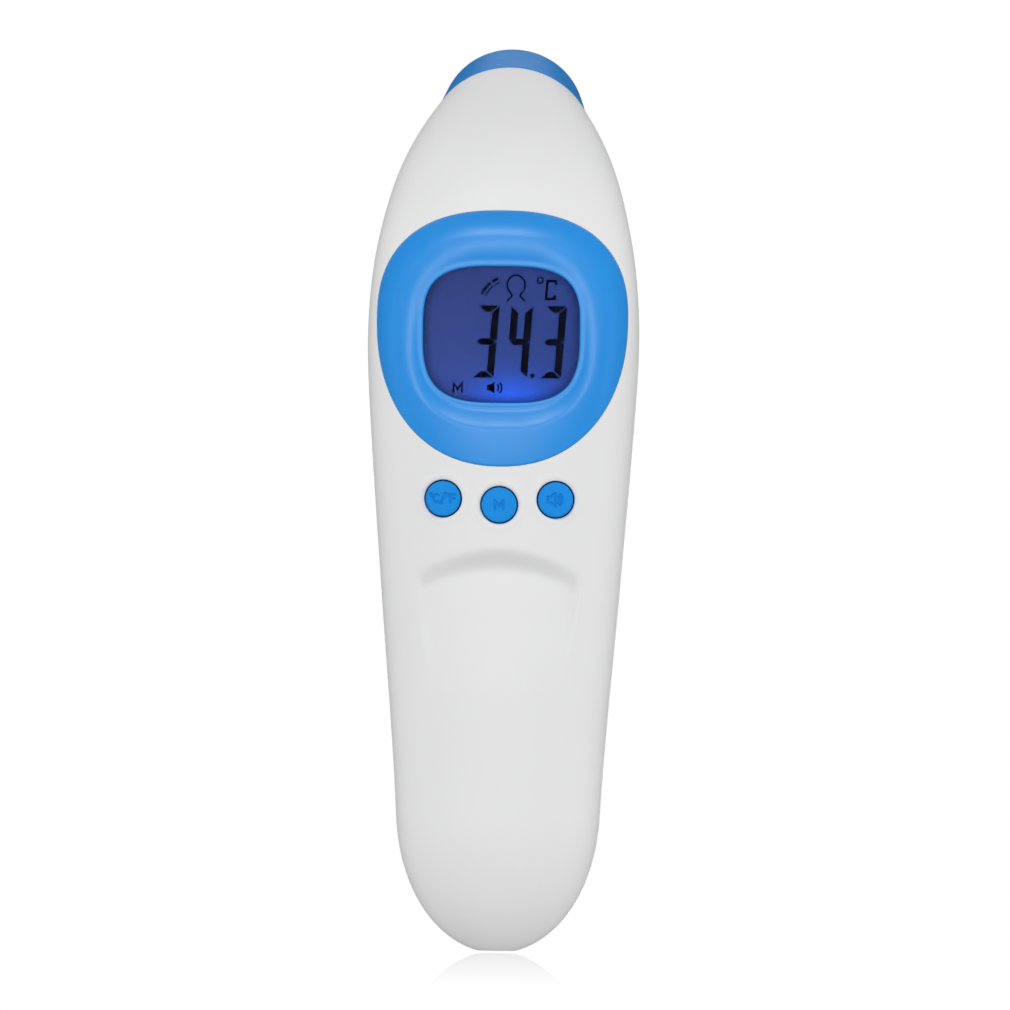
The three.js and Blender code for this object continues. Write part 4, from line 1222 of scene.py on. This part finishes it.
def floor_material():
    """Even white light, with a share of mirror that fades to nothing at MIRROR_REACH from the foot."""
    material = bpy.data.materials.new("floor_white")
    material.use_nodes = True
    tree = material.node_tree
    tree.nodes.remove(tree.nodes["Principled BSDF"])
    place = tree.nodes.new("ShaderNodeTexCoord").outputs["Object"]
    distance = add_node(tree, "VectorMath", {0: place}, "LENGTH").outputs["Value"]
    fade = {"From Max": MIRROR_REACH, "To Min": FLOOR_MIRROR, "To Max": 0.0, "Value": distance}
    share = add_node(tree, "MapRange", fade).outputs["Result"]
    light = add_node(tree, "Emission", {"Strength": 1.0}).outputs[0]
    mirror = add_node(tree, "BsdfGlossy", {"Roughness": 0.0, "Color": (1, 1, 1, 1)}).outputs[0]
    surface = add_node(tree, "MixShader", {0: share, 1: light, 2: mirror}).outputs[0]
    tree.links.new(surface, tree.nodes["Material Output"].inputs["Surface"])
    return material


def floor():
    """A wide white sheet just under the foot, which gives the object no light and no shadow."""
    mesh = bpy.data.meshes.new("floor")
    corners = [(-1, -1), (1, -1), (1, 1), (-1, 1)]
    mesh.from_pydata([(x * FLOOR_HALF, y * FLOOR_HALF, 0) for x, y in corners], [], [(0, 1, 2, 3)])
    mesh.materials.append(floor_material())
    made = bpy.data.objects.new("floor", mesh)
    made.location = (0, 0, FLOOR_HEIGHT)
    bpy.context.scene.collection.objects.link(made)
    made.visible_diffuse = False
    made.visible_glossy = False
    made.visible_shadow = False


def softbox(name, place, size, power):
    """An area light aimed at the object's middle; sizes are in metres and power in watts."""
    light = bpy.data.lights.new(name, "AREA")
    light.shape = "RECTANGLE"
    light.size, light.size_y = size
    light.energy = power
    made = bpy.data.objects.new(name, light)
    away = Vector(place) - MIDDLE
    made.matrix_world = Matrix.Translation(place) @ away.to_track_quat("Z", "Y").to_matrix().to_4x4()
    bpy.context.scene.collection.objects.link(made)
    made.visible_camera = False
    return made


def studio_world():
    """A white world: full strength to the camera and the floor's mirror, softer as light on the object."""
    world = bpy.data.worlds.new("studio")
    bpy.context.scene.world = world
    world.use_nodes = True
    tree = world.node_tree
    rays = tree.nodes.new("ShaderNodeLightPath").outputs
    either = {0: rays["Is Camera Ray"], 1: rays["Is Singular Ray"]}
    seen = add_node(tree, "Math", either, "MAXIMUM").outputs[0]
    strength = WORLD_LIGHT
    for ray, level in ((rays["Is Glossy Ray"], WORLD_GLOSS), (seen, 1.0)):
        step = add_node(tree, "MapRange", {"To Min": strength, "To Max": level, "Value": ray})
        strength = step.outputs["Result"]
    background = tree.nodes["Background"]
    background.inputs["Color"].default_value = (1, 1, 1, 1)
    tree.links.new(strength, background.inputs["Strength"])


def studio():
    studio_world()
    floor()
    softbox("front_light", (-0.05, -1.9, 0.25), (0.8, 0.8), 6.4)
    softbox("top_light", (-0.1, -1.2, 1.5), (0.8, 0.8), 8.6)
    softbox("crown_light", (0, 1.5, 1.5), (1.2, 1.2), 2.5)
    softbox("rear_light", (0, 2.0, -0.1), (0.8, 0.3), 4)
    for name, side, power in (("left_light", -1.7, 6.8), ("right_light", 1.7, 9)):
        softbox(name, (side, -0.5, -0.1), (1.0, 1.0), power).visible_glossy = False


CAMERA_TARGET = Vector((0.0006, 0, 0.0789))
CAMERA_DISTANCE = 4.0
CAMERA_AZIMUTH = math.radians(1.9)
CAMERA_ELEVATION = math.radians(0.8)
CAMERA_ROLL = math.radians(0.68)
FRAME_WIDTH = 0.1788
SENSOR_WIDTH = 36


def camera():
    data = bpy.data.cameras.new("camera")
    data.sensor_width = SENSOR_WIDTH
    data.lens = SENSOR_WIDTH * CAMERA_DISTANCE / FRAME_WIDTH
    made = bpy.data.objects.new("camera", data)
    bpy.context.scene.collection.objects.link(made)
    level = math.cos(CAMERA_ELEVATION)
    across, behind = math.sin(CAMERA_AZIMUTH) * level, -math.cos(CAMERA_AZIMUTH) * level
    back = Vector((across, behind, math.sin(CAMERA_ELEVATION)))
    made.location = CAMERA_TARGET + back * CAMERA_DISTANCE
    aim = (-back).to_track_quat("-Z", "Y").to_matrix().to_4x4()
    made.rotation_euler = (aim @ Matrix.Rotation(CAMERA_ROLL, 4, "Z")).to_euler()
    bpy.context.scene.camera = made


front_casing()
rear_casing()
battery_door()
bezel()
lens()
lcd_panel()
lcd_figures()
for button in BUTTON_NODES:
    key(button)
trigger()
trigger_spring()
probe()
for screw in SCREW_NODES:
    rear_screw(screw, 2.1)
cell("battery_left", True)
cell("battery_right", False)
contact("battery_spring", 5.6, -1)
contact("battery_link", -5.6, 1)
finish_cad_nodes()
studio()
camera()
bpy.context.scene.view_settings.view_transform = "Standard"
